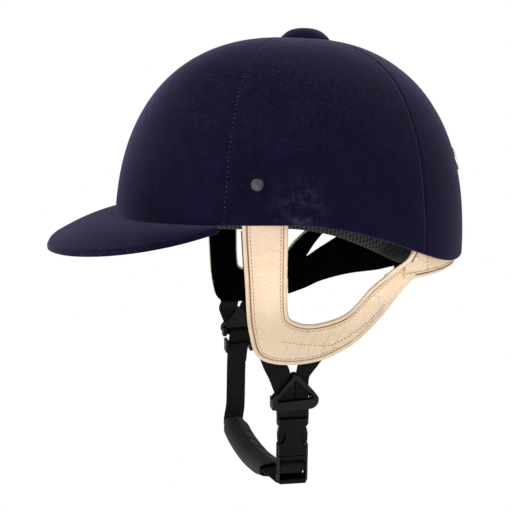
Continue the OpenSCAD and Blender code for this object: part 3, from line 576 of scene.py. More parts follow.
def webbing():
    """Narrow webbing with herringbone ribs along its length, painted lighter on the rib tops and darker in
    the hollows as highlight and shade.
    """
    base = look().webbing_colour
    f = Finish("webbing", specular_ior_level=0.05, sheen_weight=0.03, sheen_roughness=0.4)
    across, along = f.axis(0, uv=True), f.axis(1, uv=True)
    zigzag = (across * 420).math("PINGPONG", 1.0)
    height = (along * 3300 + zigzag * 5.0).wave() * 0.65 + (across * 8200).wave() * 0.35
    # Painted highlight on the rib tops and painted shade in the hollows between them.
    f.colour(f.shades(height * 0.7 + f.noise(60) * 0.3, base, 0.3, 4.0))
    f.roughness(0.62 - height * 0.2)
    f.bump(height, 0.4)
    return f


def spacer_mesh():
    """Knitted spacer mesh: rounded cells painted lighter, with painted shade in the eyes between them."""
    base = look().mesh_colour
    f = Finish("spacer_mesh", roughness=0.85, specular_ior_level=0.06, sheen_weight=0.06, sheen_roughness=0.5)
    across, along = f.axis(0, uv=True), f.axis(1, uv=True)
    height = (along * 2300).wave() * 0.6 + (across * 1900 + along * 1150).wave() * 0.4
    # Painted shade in the low eyes, and lighter on the raised cells.
    f.colour(f.shades(f.ramp(height, 0.2, 0.85), base, 0.3, 1.5))
    f.bump(height, 0.5)
    return f


def lining_cloth():
    """Matt brushed lining."""
    base = look().webbing_colour
    f = Finish("lining_cloth", roughness=0.92, specular_ior_level=0.0)
    height = f.noise(1400, 2.0) * 0.6 + f.noise(45) * 0.4
    f.colour(f.shades(height, base, 0.25, 1.1))
    f.bump(height, 0.3)
    return f


def pad_cloth():
    """Grey neoprene-like cloth of the chin sleeve, with painted shade between the ribs along its middle."""
    base = look().pad_colour
    f = Finish("pad_cloth", specular_ior_level=0.05, sheen_weight=0.04, sheen_roughness=0.45)
    knit = f.noise(1600, 2.0)
    # Random wear over the cloth.
    wear_and_crease_shade = f.noise(70, 3.0)
    cloth = f.shades(knit * 0.5 + wear_and_crease_shade * 0.5, base, 0.45, 2.2)
    across = f.axis(0, uv=True)
    # Painted shade between the ribs along the sleeve's middle.
    ribbed = f.ramp(across, -0.0034, -0.0024) * (1 - f.ramp(across, 0.0066, 0.0076))
    between = (across * 4060).math("COSINE") * -0.5 + 0.5
    f.colour(f.blend(ribbed * between * 0.85, cloth, tinted(base, 0.12)))
    f.roughness(0.6 + wear_and_crease_shade * 0.25)
    f.bump(knit * 0.6 + wear_and_crease_shade * 0.4, 0.25)
    return f


def moulded_plastic():
    """Satin acetal with a fine moulded texture and paler rubbed spots."""
    base = look().plastic_colour
    f = Finish("moulded_plastic", specular_ior_level=0.045)
    grain = f.noise(2400, 2.0)
    rub = f.noise(90, 4.0)
    f.colour(f.shades(f.ramp(rub, 0.35, 0.8), base, 0.8, 1.5))
    f.roughness(0.28 + rub * 0.12 + grain * 0.06)
    f.bump(grain * 0.6 + rub * 0.4, 0.04)
    return f


def shell_plastic():
    """Moulded shell, seen only at its edge."""
    dark, pale = (0.008, 0.008, 0.009), (0.02, 0.02, 0.022)
    return grained("shell_plastic", (800,), dark, pale, 0.05, (0.55, 0.1), specular_ior_level=0.1)


def bead_foam():
    """Dark bead foam: round beads pressed together."""
    f = Finish("bead_foam", roughness=0.85, specular_ior_level=0.06)
    bead = f.cells(330)
    edge = f.ramp(f.cells(330, "DISTANCE_TO_EDGE"), 0.0, 0.1)
    f.colour(f.blend(edge, (0.008, 0.008, 0.009), (0.03, 0.03, 0.032)))
    f.bump(edge * 0.7 - bead * 0.3, 0.25)
    return f


def coated_metal():
    """Dark grey coated rivet."""
    f = Finish("coated_metal", metallic=0.35, specular_ior_level=0.5)
    grain = f.noise(1900, 3.0)
    wear = f.noise(340, 3.0)
    f.colour(f.blend(f.ramp(wear, 0.4, 0.7), (0.016, 0.016, 0.018), (0.045, 0.045, 0.048)))
    f.roughness(0.42 + grain * 0.15)
    f.bump(grain, 0.04)
    return f


def bare_plate():
    """Brushed light metal, left bare."""
    dark, pale = (0.5, 0.5, 0.52), (0.72, 0.72, 0.74)
    return grained("bare_plate", ((180, 180, 2600),), dark, pale, 0.02, (0.32, 0.12), metallic=0.9)


def peak_cloth():
    """Dark smooth cloth under the peak."""
    dark, pale = (0.004, 0.004, 0.006), (0.016, 0.016, 0.02)
    constants = {"roughness": 0.8, "specular_ior_level": 0.05, "sheen_weight": 0.04}
    return grained("peak_cloth", (1500, 2.0), dark, pale, 0.12, **constants)


def plain_to_camera(tree, usual, plain, out):
    """Shows a plain shader to the camera and in metal or glass, and lights the rest by the usual one."""
    path = tree.nodes.new("ShaderNodeLightPath")
    total = path.outputs["Is Camera Ray"]
    for name in ("Is Glossy Ray", "Is Transmission Ray"):
        add = tree.nodes.new("ShaderNodeMath")
        tree.links.new(total, add.inputs[0])
        tree.links.new(path.outputs[name], add.inputs[1])
        total = add.outputs[0]
    mix = tree.nodes.new("ShaderNodeMixShader")
    for socket, source in enumerate((total, usual.outputs[0], plain.outputs[0])):
        tree.links.new(source, mix.inputs[socket])
    tree.links.new(mix.outputs[0], out.inputs["Surface"])


def pale_floor():
    """Pale surface that shows plain white to the camera and in reflections."""
    f = Finish("pale_floor", base_color=(0.85, 0.85, 0.85, 1), roughness=0.9)
    white = f.tree.nodes.new("ShaderNodeEmission")
    plain_to_camera(f.tree, f.shader, white, f.tree.nodes["Material Output"])
    return f


MAKERS = {
    maker.__name__: maker
    for maker in (
        velvet, leather, piping_leather, thread, seam_thread, webbing, spacer_mesh, lining_cloth, pad_cloth,
        moulded_plastic, shell_plastic, bead_foam, coated_metal, bare_plate, peak_cloth, pale_floor,
    )
}


# Stitches


def stitch_tree():
    """Stitches along the edges of a mesh: small oval beads, turned along the line."""
    tree = bpy.data.node_groups.get("Stitches")
    if tree:
        return tree
    tree = bpy.data.node_groups.new("Stitches", "GeometryNodeTree")
    add, link = tree.nodes.new, tree.links.new
    tree.interface.new_socket("Geometry", in_out="INPUT", socket_type="NodeSocketGeometry")
    for name in ("Pitch", "Length", "Thickness"):
        tree.interface.new_socket(name, in_out="INPUT", socket_type="NodeSocketFloat")
    tree.interface.new_socket("Thread", in_out="INPUT", socket_type="NodeSocketMaterial")
    tree.interface.new_socket("Geometry", in_out="OUTPUT", socket_type="NodeSocketGeometry")
    start, end = add("NodeGroupInput"), add("NodeGroupOutput")
    to_curve, even = add("GeometryNodeMeshToCurve"), add("GeometryNodeResampleCurve")
    even.mode = "LENGTH"
    link(start.outputs["Geometry"], to_curve.inputs[0])
    link(to_curve.outputs[0], even.inputs["Curve"])
    link(start.outputs["Pitch"], even.inputs["Length"])
    bead, size = add("GeometryNodeMeshIcoSphere"), add("ShaderNodeCombineXYZ")
    bead.inputs["Radius"].default_value = 0.5
    bead.inputs["Subdivisions"].default_value = 2
    for axis, name in enumerate(("Length", "Thickness", "Thickness")):
        link(start.outputs[name], size.inputs[axis])
    tangent, turn = add("GeometryNodeInputTangent"), add("FunctionNodeAlignRotationToVector")
    turn.axis = "X"
    link(tangent.outputs[0], turn.inputs["Vector"])
    place, real = add("GeometryNodeInstanceOnPoints"), add("GeometryNodeRealizeInstances")
    coat = add("GeometryNodeSetMaterial")
    link(even.outputs[0], place.inputs["Points"])
    link(bead.outputs["Mesh"], place.inputs["Instance"])
    link(turn.outputs[0], place.inputs["Rotation"])
    link(size.outputs[0], place.inputs["Scale"])
    link(place.outputs[0], real.inputs[0])
    link(real.outputs[0], coat.inputs["Geometry"])
    link(start.outputs["Thread"], coat.inputs["Material"])
    link(coat.outputs[0], end.inputs[0])
    return tree


def stitches(name, lines, finish, pitch, length, thickness):
    """Stitches along lines of points in millimetres, as one plain mesh."""
    points, edges = [], []
    for line in lines:
        first = len(points)
        points += (np.asarray(line) * MM).tolist()
        edges += [(first + k, first + k + 1) for k in range(len(line) - 1)]
    mesh = bpy.data.meshes.new(name)
    mesh.from_pydata(points, edges, [])
    obj = placed(name, mesh)
    modifier = obj.modifiers.new("Stitches", "NODES")
    modifier.node_group = stitch_tree()
    sizes = {"Pitch": pitch * MM, "Length": length * MM, "Thickness": thickness * MM}
    sizes["Thread"] = finish_named(finish)
    for item in modifier.node_group.interface.items_tree:
        if item.in_out == "INPUT" and item.name in sizes:
            modifier[item.identifier] = sizes[item.name]
    applied(obj)
    shaded_smooth(obj.data)
    return obj


# Velvet cover

SEAM_F = (0.0, 0.35, 0.55, 0.7, 0.85, 1.0)
FRONT_SEAM_T = (56.0, 57.5, 59.0, 60.0, 60.5, 60.5)
REAR_SEAM_T = (136.0, 129.0, 123.5, 120.5, 118.6, 117.7)


# The panels and the seams at their edges; for the front one, the right seam's angle is below 0.
PANELS = {
    "front": ("right_front_back", "left_front"), "left": ("left_front", "left_rear"),
    "rear": ("left_rear", "right_rear"), "right": ("right_rear", "right_front"),
}


def seam_angle(which, f):
    """Plan angle of a seam, a share f of the way from the crown to the rim."""
    front = np.interp(f, SEAM_F, FRONT_SEAM_T)
    rear = np.interp(f, SEAM_F, REAR_SEAM_T)
    angles = {
        "left_front": front, "left_rear": rear, "right_front": 360 - front, "right_rear": 360 - rear,
        "right_front_back": -front,
    }
    return angles[which]


def velvet_sheet(name, rows, *nodes):
    """Rows of points as one sheet of velvet, half a millimetre thick."""
    grid = np.concatenate(rows)
    obj = new_object(name, grid.reshape(-1, 3), grid_faces(*grid.shape[:2]), "velvet")
    modified(obj, "SOLIDIFY", thickness=0.5 * MM, offset=-1.0)
    finished(obj, "helmet", "velvet", *nodes)


def velvet_panel(name, from_seam, to_seam):
    """One sewn panel: it dips into its seams and folds round the rim."""
    f = np.concatenate([np.linspace(0.03, 0.96, 60), [0.975, 0.99, 1.0]])[:, None]
    u = (0.5 - 0.5 * np.cos(np.pi * np.linspace(0, 1, 61)))[None, :]
    t0, t1 = seam_angle(from_seam, f), seam_angle(to_seam, f)
    t = t0 + (t1 - t0) * u
    s = tilt(t, rim_z(t), 0) * f
    flat = dome(t, s, 0)
    reach = np.linalg.norm(flat[..., :2], axis=-1)
    edge = np.minimum(u, 1 - u) * (t1 - t0) * np.pi / 180 * reach
    depth = 0.4 * hump(edge, 0.8) - 0.05 * hump(edge - 3, 1.8) - 0.12 * ripple(flat, 9.0, 3)
    rows = [dome(t, s, depth)]
    rim_t = t[-1:]
    for drop, sunk in ((0.7, 0.5), (1.0, 1.6), (0.8, 3.0), (-0.2, 3.9), (-1.6, 4.3)):
        rows.append(dome_at(rim_t, rim_z(rim_t) - drop, sunk))
    velvet_sheet(f"velvet_{name}", rows, f"cover_{name}")


class HELMET_OT_cover(bpy.types.Operator):
    """Four velvet panels with their seams"""

    bl_idname = "helmet.cover"
    bl_label = "Velvet cover"

    def execute(self, context):
        for name, seams in PANELS.items():
            velvet_panel(name, *seams)
        f = np.linspace(0.12, 0.995, 90)
        lines = []
        for which in ("left_front", "right_front"):
            t = seam_angle(which, f) - 0.3 / np.maximum(f, 0.2)
            lines.append(dome(t, tilt(t, rim_z(t), 0) * f, 0.1))
        seam = stitches("seam_stitches", lines, "seam_thread", pitch=3.1, length=0.8, thickness=0.3)
        finished(seam, "helmet", "velvet")
        return {"FINISHED"}


# Peak

# How far the cloth runs on into the dome, and the rolled edge as distances back from it and down
PEAK_TUCK = 3.6
PEAK_ROLL = (
    (1.0, 0.12), (0.5, 0.5), (0.1, 1.1), (0.0, 1.7), (0.25, 2.05), (0.25, 2.35), (0.0, 2.7), (0.1, 3.3),
    (0.6, 3.8), (1.6, 4.0), (4.0, 3.95),
)


def peak_width(t):
    """How far the peak stands out from the dome."""
    return PEAK_REACH * (1 - (t / (PEAK_HALF_SWEEP + 2)) ** 2) ** 0.9


def peak_edge_z(t):
    """Height of the top face at the peak's edge."""
    v = np.abs(t) / 60
    return PEAK_TIP_Z + PEAK_T + PEAK_EDGE_LIFT * (0.35 * v + 0.65 * v**2.5)


def peak_point(t, w, drop):
    """A point a distance w out from the dome, a drop below the peak's top face."""
    low = rim_z(t) - 1.2
    root = dome_at(t, low, 0)
    ahead = dome_at(t + 0.5, low, 0) - dome_at(t - 0.5, low, 0)
    out = unit(np.stack([ahead[..., 1], -ahead[..., 0]], -1))
    wide = peak_width(t)
    v = np.clip(w / wide, 0, 1)
    z = low + (peak_edge_z(t) - low) * v + 3 * np.sin(np.pi * v) * wide / PEAK_REACH
    return np.stack([root[..., 0] + out[..., 0] * w, root[..., 1] + out[..., 1] * w, z - drop], -1)


class HELMET_OT_peak(bpy.types.Operator):
    """Velvet peak with a rolled edge, and the cloth under it"""

    bl_idname = "helmet.peak"
    bl_label = "Peak"

    def execute(self, context):
        t = PEAK_HALF_SWEEP * np.sin(np.pi / 2 * np.linspace(-1, 1, 121))[None, :]
        wide = peak_width(t)
        w = -PEAK_TUCK + (wide - 1.4 + PEAK_TUCK) * np.linspace(0, 1, 26)[:, None]
        rows = [peak_point(t, w, 0)]
        for back, drop in PEAK_ROLL:
            rows.append(peak_point(t, wide - np.minimum(back, 0.6 * wide), drop))
        velvet_sheet("velvet_peak", rows, "peak_cover", "peak_core")
        w = -PEAK_TUCK + (wide - np.minimum(2.6, 0.7 * wide) + PEAK_TUCK) * np.linspace(0, 1, 16)[:, None]
        front, back = peak_point(t, w, 3.0), peak_point(t, w, PEAK_T - 0.15)
        under = slab("peak_underside_cloth", front, back, "peak_cloth")
        finished(under, "helmet", "black_cloth", "peak_underside")
        return {"FINISHED"}


# Crown button

BUTTON_X, BUTTON_R, BUTTON_RISE = -11.4, 18.5, 7.5


def dome_height(x, y):
    """Height of the dome's face over a point in plan."""
    a = np.where(x > 0, DOME_FRONT, DOME_REAR)
    rho = ((np.abs(x) / a) ** PLAN_POWER + (np.abs(y) / DOME_HALF_W) ** PLAN_POWER) ** (1 / PLAN_POWER)
    t = np.degrees(np.arctan2(y / DOME_HALF_W, x / a))
    q = profile_power(t)
    return DOME_H * (1 - rho**q) ** (1 / q)


class HELMET_OT_button(bpy.types.Operator):
    """Velvet-covered crown button, drawn in at its foot"""

    bl_idname = "helmet.button"
    bl_label = "Crown button"

    def execute(self, context):
        a = np.radians(np.linspace(0, 360, 96, endpoint=False))[None, :]
        share = np.sin(np.pi / 2 * np.linspace(0.02, 1, 30))[:, None]
        r = BUTTON_R * share
        x, y = BUTTON_X + r * np.cos(a), r * np.sin(a)
        folds = 0.12 * np.sin(16 * a) * smooth((share - 0.55) / 0.4)
        top = dome_height(x, y) + 0.7 + (BUTTON_RISE - 0.7) * (1 - share**3.2) + folds
        rows = [np.stack([x, y, top], -1)]
        for inset, up in ((0.1, 0.5), (0.4, 0.3), (1.0, 0.15), (3.0, 0.05)):
            r = BUTTON_R - inset
            x, y = BUTTON_X + r * np.cos(a), r * np.sin(a)
            rows.append(np.stack([x, y, dome_height(x, y) + up], -1))
        obj = sweep("velvet_button", np.concatenate(rows), "velvet")
        finished(obj, "helmet", "velvet", "crown_button")
        for node in ("button_shank", "button_washer"):
            moulded(f"{node}_steel", node, "coated_metal", "helmet", "rivet_metal", 0.15)
        return {"FINISHED"}


# Shell, liner and pads

CUSHION_OUT, CUSHION_IN, CUSHION_LOW_Z = 22.7, 29.7, 108.9
HEADBAND_ROUND = 50


def ring(count):
    """Angles round a section, as one row."""
    return np.linspace(0, 2 * np.pi, count, endpoint=False)[None, :]


def ring_layer(name, t, out, inner, low, finish, rows):
    """A smooth closed dome layer from the crown to its lower edge."""
    f = np.linspace(0.04, 1, rows)[:, None]
    front, back = (dome(t, tilt(t, low, depth) * f, depth) for depth in (out, inner))
    return slab(name, front, back, finish, wrap=True)


def roll_sections(t, low, height, out, thick, count, squareness):
    """Sections of a padded roll that runs round inside the dome."""
    a = ring(count)
    z = low + height / 2 * (1 + power(np.sin(a), squareness))
    return dome_at(t, z, out + thick / 2 * (1 + power(np.cos(a), squareness)))


class HELMET_OT_lining(bpy.types.Operator):
    """Shell, foam liner, headband and crown pad"""

    bl_idname = "helmet.lining"
    bl_label = "Shell and linings"

    def execute(self, context):
        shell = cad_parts["outer_shell"]
        shell.data.materials.clear()
        shell.data.materials.append(finish_named("shell_plastic"))
        t = np.arange(0, 360, 3.0)[None, :]
        low = rim_z(t) + 2 + 5.5 * smooth((from_front(t) - 95) / 12)
        liner = ring_layer("foam_liner", t, LINER_OUT, LINER_IN, low, "bead_foam", rows=26)
        finished(liner, "helmet", "foam", "impact_liner")
        pad = ring_layer("crown_cushion", t, CUSHION_OUT, CUSHION_IN, CUSHION_LOW_Z, "lining_cloth", rows=14)
        finished(pad, "helmet", "mesh", "crown_pad")
        t = np.arange(0, 360, 1.5)[:, None]
        low = rim_z(t) - HEADBAND_DROP
        sections = roll_sections(t, low, HEADBAND_H, HEADBAND_OUT, HEADBAND_T, count=28, squareness=0.7)
        uv = lay(np.linspace(0, HEADBAND_ROUND, 28), run_along(sections[:, 0])[:, None])
        band = sweep("mesh_headband", sections, "spacer_mesh", closed=True, uv=uv)
        finished(band, "helmet", "mesh", "headband")
        return {"FINISHED"}


# The neck band from the ear to the back: x, y, lower and upper edge, and how each side differs
NECK_HALF = [
    (-20, 63, -50, -36), (-35, 61.5, -45, -22), (-50, 58, -38, -10), (-70, 46, -30, 10), (-88, 23, -22, 20),
]
NECK_BACK = (-99, 0, -14, 22)
NECK_RIGHT_RISE = (16.6, 6.2, 4.7, 0, 0)
NECK_LEFT_LIFT = [(3, -6), (3, -6), (6, -2), (6, -19), (0, 0)]


class HELMET_OT_neck_band(bpy.types.Operator):
    """Padded band inside the harness, round the back of the neck"""

    bl_idname = "helmet.neck_band"
    bl_label = "Neck band"

    def execute(self, context):
        left = np.array(NECK_HALF, float)
        right = left * (1, -1, 1, 1)
        right[:, 3] += NECK_RIGHT_RISE
        left[:, 2:] += NECK_LEFT_LIFT
        path = spaced(curve(np.vstack([right, [NECK_BACK], left[::-1]]), 12), 120)
        d = headings(path[:, :2])
        way = np.stack([d[:, 1], -d[:, 0]], -1)[:, None, :]
        a = ring(40)
        c, s = power(np.cos(a), 0.7), power(np.sin(a), 0.5)
        sewn = 0.4 * hump(np.abs(s) - 0.82, 0.05)
        low, high = path[:, 2:3], path[:, 3:4]
        xy = path[:, None, :2] + way * (3.0 * c * (1 - sewn))[..., None]
        sections = np.concatenate([xy, ((low + high) / 2 + (high - low) / 2 * s)[..., None]], -1)
        band = sweep("neck_padding", sections, "lining_cloth")
        finished(band, "helmet", "black_cloth", "neck_band")
        return {"FINISHED"}


PLATE_Z, PLATE_HALF_H, PLATE_HALF_SWEEP = 77.5, 8.5, 30


class HELMET_OT_fittings(bpy.types.Operator):
    """Side rivets, their washers, the hook patches and the bare rear plate"""

    bl_idname = "helmet.fittings"
    bl_label = "Rivets and plate"

    def execute(self, context):
        for side in ("left", "right"):
            for name, node in (("rivet", "side_rivet"), ("washer", "rivet_washer")):
                moulded(f"{name}_{side}", f"{node}_{side}", "coated_metal", "helmet", "rivet_metal", 0.12)
        moulded("hook_tapes", "hook_patches", "lining_cloth", "helmet", "black_cloth", 0.3)
        t = 180 + PLATE_HALF_SWEEP * np.sin(np.pi / 2 * np.linspace(-1, 1, 61))[:, None]
        end = (np.abs(t - 180) / (PLATE_HALF_SWEEP + 0.2)) ** 8
        a = ring(28)
        z = PLATE_Z + PLATE_HALF_H * np.maximum(0.02, 1 - end) ** 0.5 * power(np.sin(a), 0.5)
        depth = -0.65 - 0.62 * power(np.cos(a), 0.35)
        plate = sweep("rear_blank_plate", dome_at(t, z, depth), "bare_plate")
        finished(plate, "helmet", "plate", "rear_plate")
        return {"FINISHED"}


# Leather harness

# Size of the piping cord, and where the lining is sewn, how deep it lies and how high it reaches
PIPING_R, PIPING_RISE = 1.5, 1.35
LINING_SEAM, LINING_DEPTH, LINING_TOP_Z = 4.3, 4.5, 34.0


def hung(obj, side, slot, *nodes):
    """Leather and lining keep their place in the world, with the transform baked into the mesh, and take the
    place of their CAD nodes.
    """
    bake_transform(obj)
    stands_for(nodes)


def flap_y(x):
    """The surface the harness leather lies on, on the left."""
    curved = FLAP_HALF_W * np.sqrt(np.maximum(0, 1 - (x / FLAP_HALF_L) ** 2))
    bend = FLAP_HALF_W * np.sqrt(1 - (FLAP_BEND_X / FLAP_HALF_L) ** 2)
    return np.where(x > FLAP_BEND_X, curved, bend + FLAP_FLARE * (FLAP_BEND_X - x))


def leather_y(x, z):
    """As flap_y, but easing onto the tab's surface inside the shell."""
    q = profile_power(70.0)
    rho = (1 - (np.clip(z, 0, 140) / (DOME_H - TAB_OUT)) ** q) ** (1 / q)
    share = np.clip(np.abs(x) / ((DOME_FRONT - TAB_OUT) * rho), 0, 0.99)
    tab = (DOME_HALF_W - TAB_OUT) * rho * (1 - share**PLAN_POWER) ** (1 / PLAN_POWER)
    inside = smooth((z - 33) / 12) * (x > 0)
    return flap_y(x) * (1 - inside) + tab * inside


def on_leather(line, depth):
    """Points a depth under the leather's surface, from x and z."""
    x, z = line.T
    return np.stack([x, leather_y(x, z) - depth, z], -1)


def flap_edges():
    """Matching points along the leather's two edges, as x and z."""
    outer, ear = curve(OUTER_EDGE, 24), curve(EAR_EDGE, 24)
    lines = spaced(np.concatenate([(outer + ear) / 2, outer, ear], 1), 360)
    return lines[:, 2:4], lines[:, 4:6]


def inward(edge, other):
    """Unit normals of an edge, as x and z, that point to the other edge."""
    d = headings(edge)
    n = np.stack([-d[:, 1], d[:, 0]], -1)
    return n * np.sign(np.sum(n * (other - edge), 1, keepdims=True))


# Where the flap is narrower than this, distances from its edges shrink with it.
FULL_FLAP_W = 23


def flap_grid(insets, depths):
    """Points across the flap: each column a distance from an edge, or a share of the width, and a depth."""
    outer, ear = flap_edges()
    starts = {"share": (outer, ear - outer)}
    for side, edge, other in (("outer", outer, ear), ("ear", ear, outer)):
        way = inward(edge, other)
        across = np.sum(way * (other - edge), axis=1, keepdims=True)
        starts[side] = (edge, way * np.minimum(1, across / FULL_FLAP_W))
    made = []
    for (side, inset), depth in zip(insets, np.broadcast_to(depths, len(insets))):
        start, way = starts[side]
        made.append(on_leather(start + way * inset, depth))
    return np.stack(made, 1)


STITCH_INSET = 4.8
# Where along x the stitches of each edge stop, towards the back
STITCHES_STOP = {"outer": -10, "ear": -60}
LEATHER_T = 2.2
# Where the leather starts to tuck under the nape band, and how deep it goes
TUCK_X, TUCK_DEPTH = -57.5, 1.6
# Columns of the hide from each edge, and how deep each lies
EDGE_STEPS = (1.5, 2.3, 2.9, 3.3, 4.0, 4.5, 4.8, 5.1, 5.8, 7.4)
SEWN = (1.7, 1.45, 1.0, 0.55, 0.1, 0.2, 0.45, 0.2, 0.05, 0.0)
# Folds across the jaw: where, how wide and how deep
WRINKLES = (
    (22.2, 0.8, 0.3), (13.8, 0.9, 0.35), (7.2, 0.8, 0.3), (-3.2, 0.9, 0.55), (-5.4, 0.7, 0.35),
    (-10.4, 0.9, 0.4),
)


def columns(outer, middle, ear):
    """Columns from the outer edge, over the middle, to the ear edge."""
    shares = np.linspace(0.36, 0.64, middle)
    return [("outer", d) for d in outer] + [("share", k) for k in shares] + [("ear", d) for d in ear]


def hide_swell(p):
    """How far the hide stands out: slack ripples, and folds that lean back across the jaw."""
    x, z = p[..., 0], p[..., 2]
    bent = smooth((-12 - z) / 25)
    out = 0.3 * bent * ripple(p * np.array([1.5, 0.5, 0.8]), 3.4, 11)
    out = out + 0.16 * (1 - bent) * ripple(p, 5.0, 12)
    lean = x + 0.43 * (z + 42) + 0.6 * np.sin(z / 3.0)
    reach = smooth((-31 - z) / 4) * smooth((z + 54) / 4)
    for at, wide, deep in WRINKLES:
        out = out + deep * reach * (0.7 * hump(lean - at - 1.7 * wide, wide) - hump(lean - at, wide))
    return out


def leather_flap(side):
    """The hide: it dips at its stitches, turns down at its piped edges and tucks under the nape band."""
    insets = columns(EDGE_STEPS, 9, EDGE_STEPS[::-1])
    depths = [*SEWN, *(-0.25 * np.sin(np.pi * k / 8) for k in range(9)), *SEWN[::-1]]
    front = flap_grid(insets, depths)
    back = flap_grid(insets, LEATHER_T)
    from_edge = np.array([15.0 if end == "share" else inset for end, inset in insets])
    front[..., 1] += hide_swell(front) * smooth((from_edge - 3) / 2)
    for layer in (front, back):
        layer[..., 1] -= TUCK_DEPTH * smooth((TUCK_X - layer[..., 0]) / 4)
    front, back = mirrored(front, side), mirrored(back, side)
    uv = lay(from_edge, np.arange(len(front))[:, None])
    obj = slab(f"leather_flap_{side}", front, back, "leather", uv=uv)
    hung(obj, side, "leather", f"flap_leather_{side}", f"harness_tab_{side}")


def cord_rings(line, across, out):
    """Sections of a piping cord along a line."""
    a = ring(14)[..., None]
    return line[:, None] + PIPING_R * np.cos(a) * across[:, None] + PIPING_RISE * np.sin(a) * np.array(out)


def flap_piping(side):
    """A cord of leather along each edge of the flap."""
    outer, ear = flap_edges()
    runs = []
    for edge, other in ((outer, ear), (ear, outer)):
        way = inward(edge, other)
        line = on_leather(edge + way * PIPING_R, PIPING_RISE)
        rings = cord_rings(line, np.insert(way, 1, 0, axis=1), (0, 1, 0))
        runs.append(sweep("run", mirrored(rings, side), "piping_leather"))
    hung(joined(f"leather_piping_{side}", runs), side, "leather", f"flap_piping_{side}")


def thinned(points, by):
    """The lining lies closer to the leather along its rear arm."""
    points[..., 1] += by * smooth((-8 - points[..., 0]) / 14)
    return points


def flap_lining(side):
    """The padded lining behind the leather, sewn down near its edges."""
    outer = (0.2, 0.6, 1.4, 2.8, 3.8, LINING_SEAM, 4.8, 6.0, 8.0)
    insets = columns(outer, 7, (8.0, 6.0, 4.8, LINING_SEAM, 3.8, 3.0, 2.4, 2.0, 1.8))
    edge = [0.6, 1.2, 1.9, 2.4, 2.2, 1.9, 2.3, 3.0, 3.4]
    loft = edge + [3.5 + 0.4 * np.sin(np.pi * k / 6) for k in range(7)] + edge[::-1]
    front = thinned(flap_grid(insets, LINING_DEPTH), 1.6)
    back = thinned(flap_grid(insets, [LINING_DEPTH + v for v in loft]), 3.2)
    keep = front[:, 0, 2] < LINING_TOP_Z
    front, back = mirrored(front[keep], side), mirrored(back[keep], side)
    obj = slab(f"lining_pad_{side}", front, back, "lining_cloth")
    hung(obj, side, "black_cloth", f"flap_lining_{side}")
    lines = []
    for end in ("outer", "ear"):
        line = thinned(flap_grid([(end, LINING_SEAM)], LINING_DEPTH + 2.05)[:, 0], 3.2)
        lines.append(mirrored(line[keep][2:-2], side))
    sewn = stitches(f"lining_stitches_{side}", lines, "lining_cloth", pitch=3.4, length=2.6, thickness=0.6)
    hung(sewn, side, "black_cloth")


INNER_SEAM = [
    (27.4, -41.2), (17.8, -42.8), (9.9, -43.9), (2.0, -44.6), (-5.0, -44.9), (-9.9, -43.3),
    (-16.7, -39.4), (-23.6, -35.1), (-30.4, -29.8), (-36.4, -23.6), (-41.7, -17.4),
]


def half_step(line, pitch):
    """The same line started half a stitch later, so that holes fall between its stitches."""
    return sampled(line, np.arange(pitch / 2, run_along(line)[-1], 0.5))


def thread_stitches(name, lines):
    """Tan stitches at the pitch that the panel sets."""
    pitch = look().stitch_pitch / MM
    return stitches(name, lines, "thread", pitch, length=pitch * 0.72, thickness=0.62)


def flap_stitches(side):
    """Tan thread along both edges of the leather and along its inner seam, with dark holes between."""
    lines = []
    for end in ("outer", "ear"):
        line = flap_grid([(end, STITCH_INSET)], 0.3)[4:-20, 0]
        line = line[line[:, 0] > STITCHES_STOP[end]]
        line[:, 1] += hide_swell(line) * smooth((STITCH_INSET - 3) / 2)
        lines.append(mirrored(line, side))
    seam = on_leather(curve(INNER_SEAM, 12), -0.2)
    seam[:, 1] += hide_swell(seam)
    lines.append(mirrored(seam, side))
    hung(thread_stitches(f"leather_stitches_{side}", lines), side, "leather")
    pitch = look().stitch_pitch / MM
    lines = [half_step(line, pitch) for line in lines]
    holes = stitches(f"stitch_holes_{side}", lines, "piping_leather", pitch, length=0.9, thickness=0.5)
    hung(holes, side, "leather")


class HELMET_OT_harness(bpy.types.Operator):
    """Leather flaps with piping, stitches and padded linings"""

    bl_idname = "helmet.harness"
    bl_label = "Leather harness"

    def execute(self, context):
        for side in ("left", "right"):
            leather_flap(side)
            flap_piping(side)
            flap_stitches(side)
            flap_lining(side)
        return {"FINISHED"}


FRONT_ROLL = [
    (-43, 87.6, 2.0), (-49.6, 90.2, 7.4), (-55.1, 92.6, 12.2), (-58.9, 93.2, 16.8), (-62.1, 92.0, 21.8),
    (-65.2, 90.3, 27.0),
]
NAPE_FROM, NAPE_TO, NAPE_LOW_Z, NAPE_OUT, NAPE_IN = 112.6, 247.4, 0.5, 4.6, 6.8
NAPE_PAD_LOW_Z, NAPE_PAD_TOP_Z, NAPE_PAD_OUT, NAPE_PAD_T = 1.2, 30, 7.0, 3.2
NAPE_STITCH_UP = 4.4


def nape_slant(a):
    """Height at which the band's slanting front edge stands, at an angle from straight ahead."""
    return 10.5 + 3.2 * (a - 112.5)


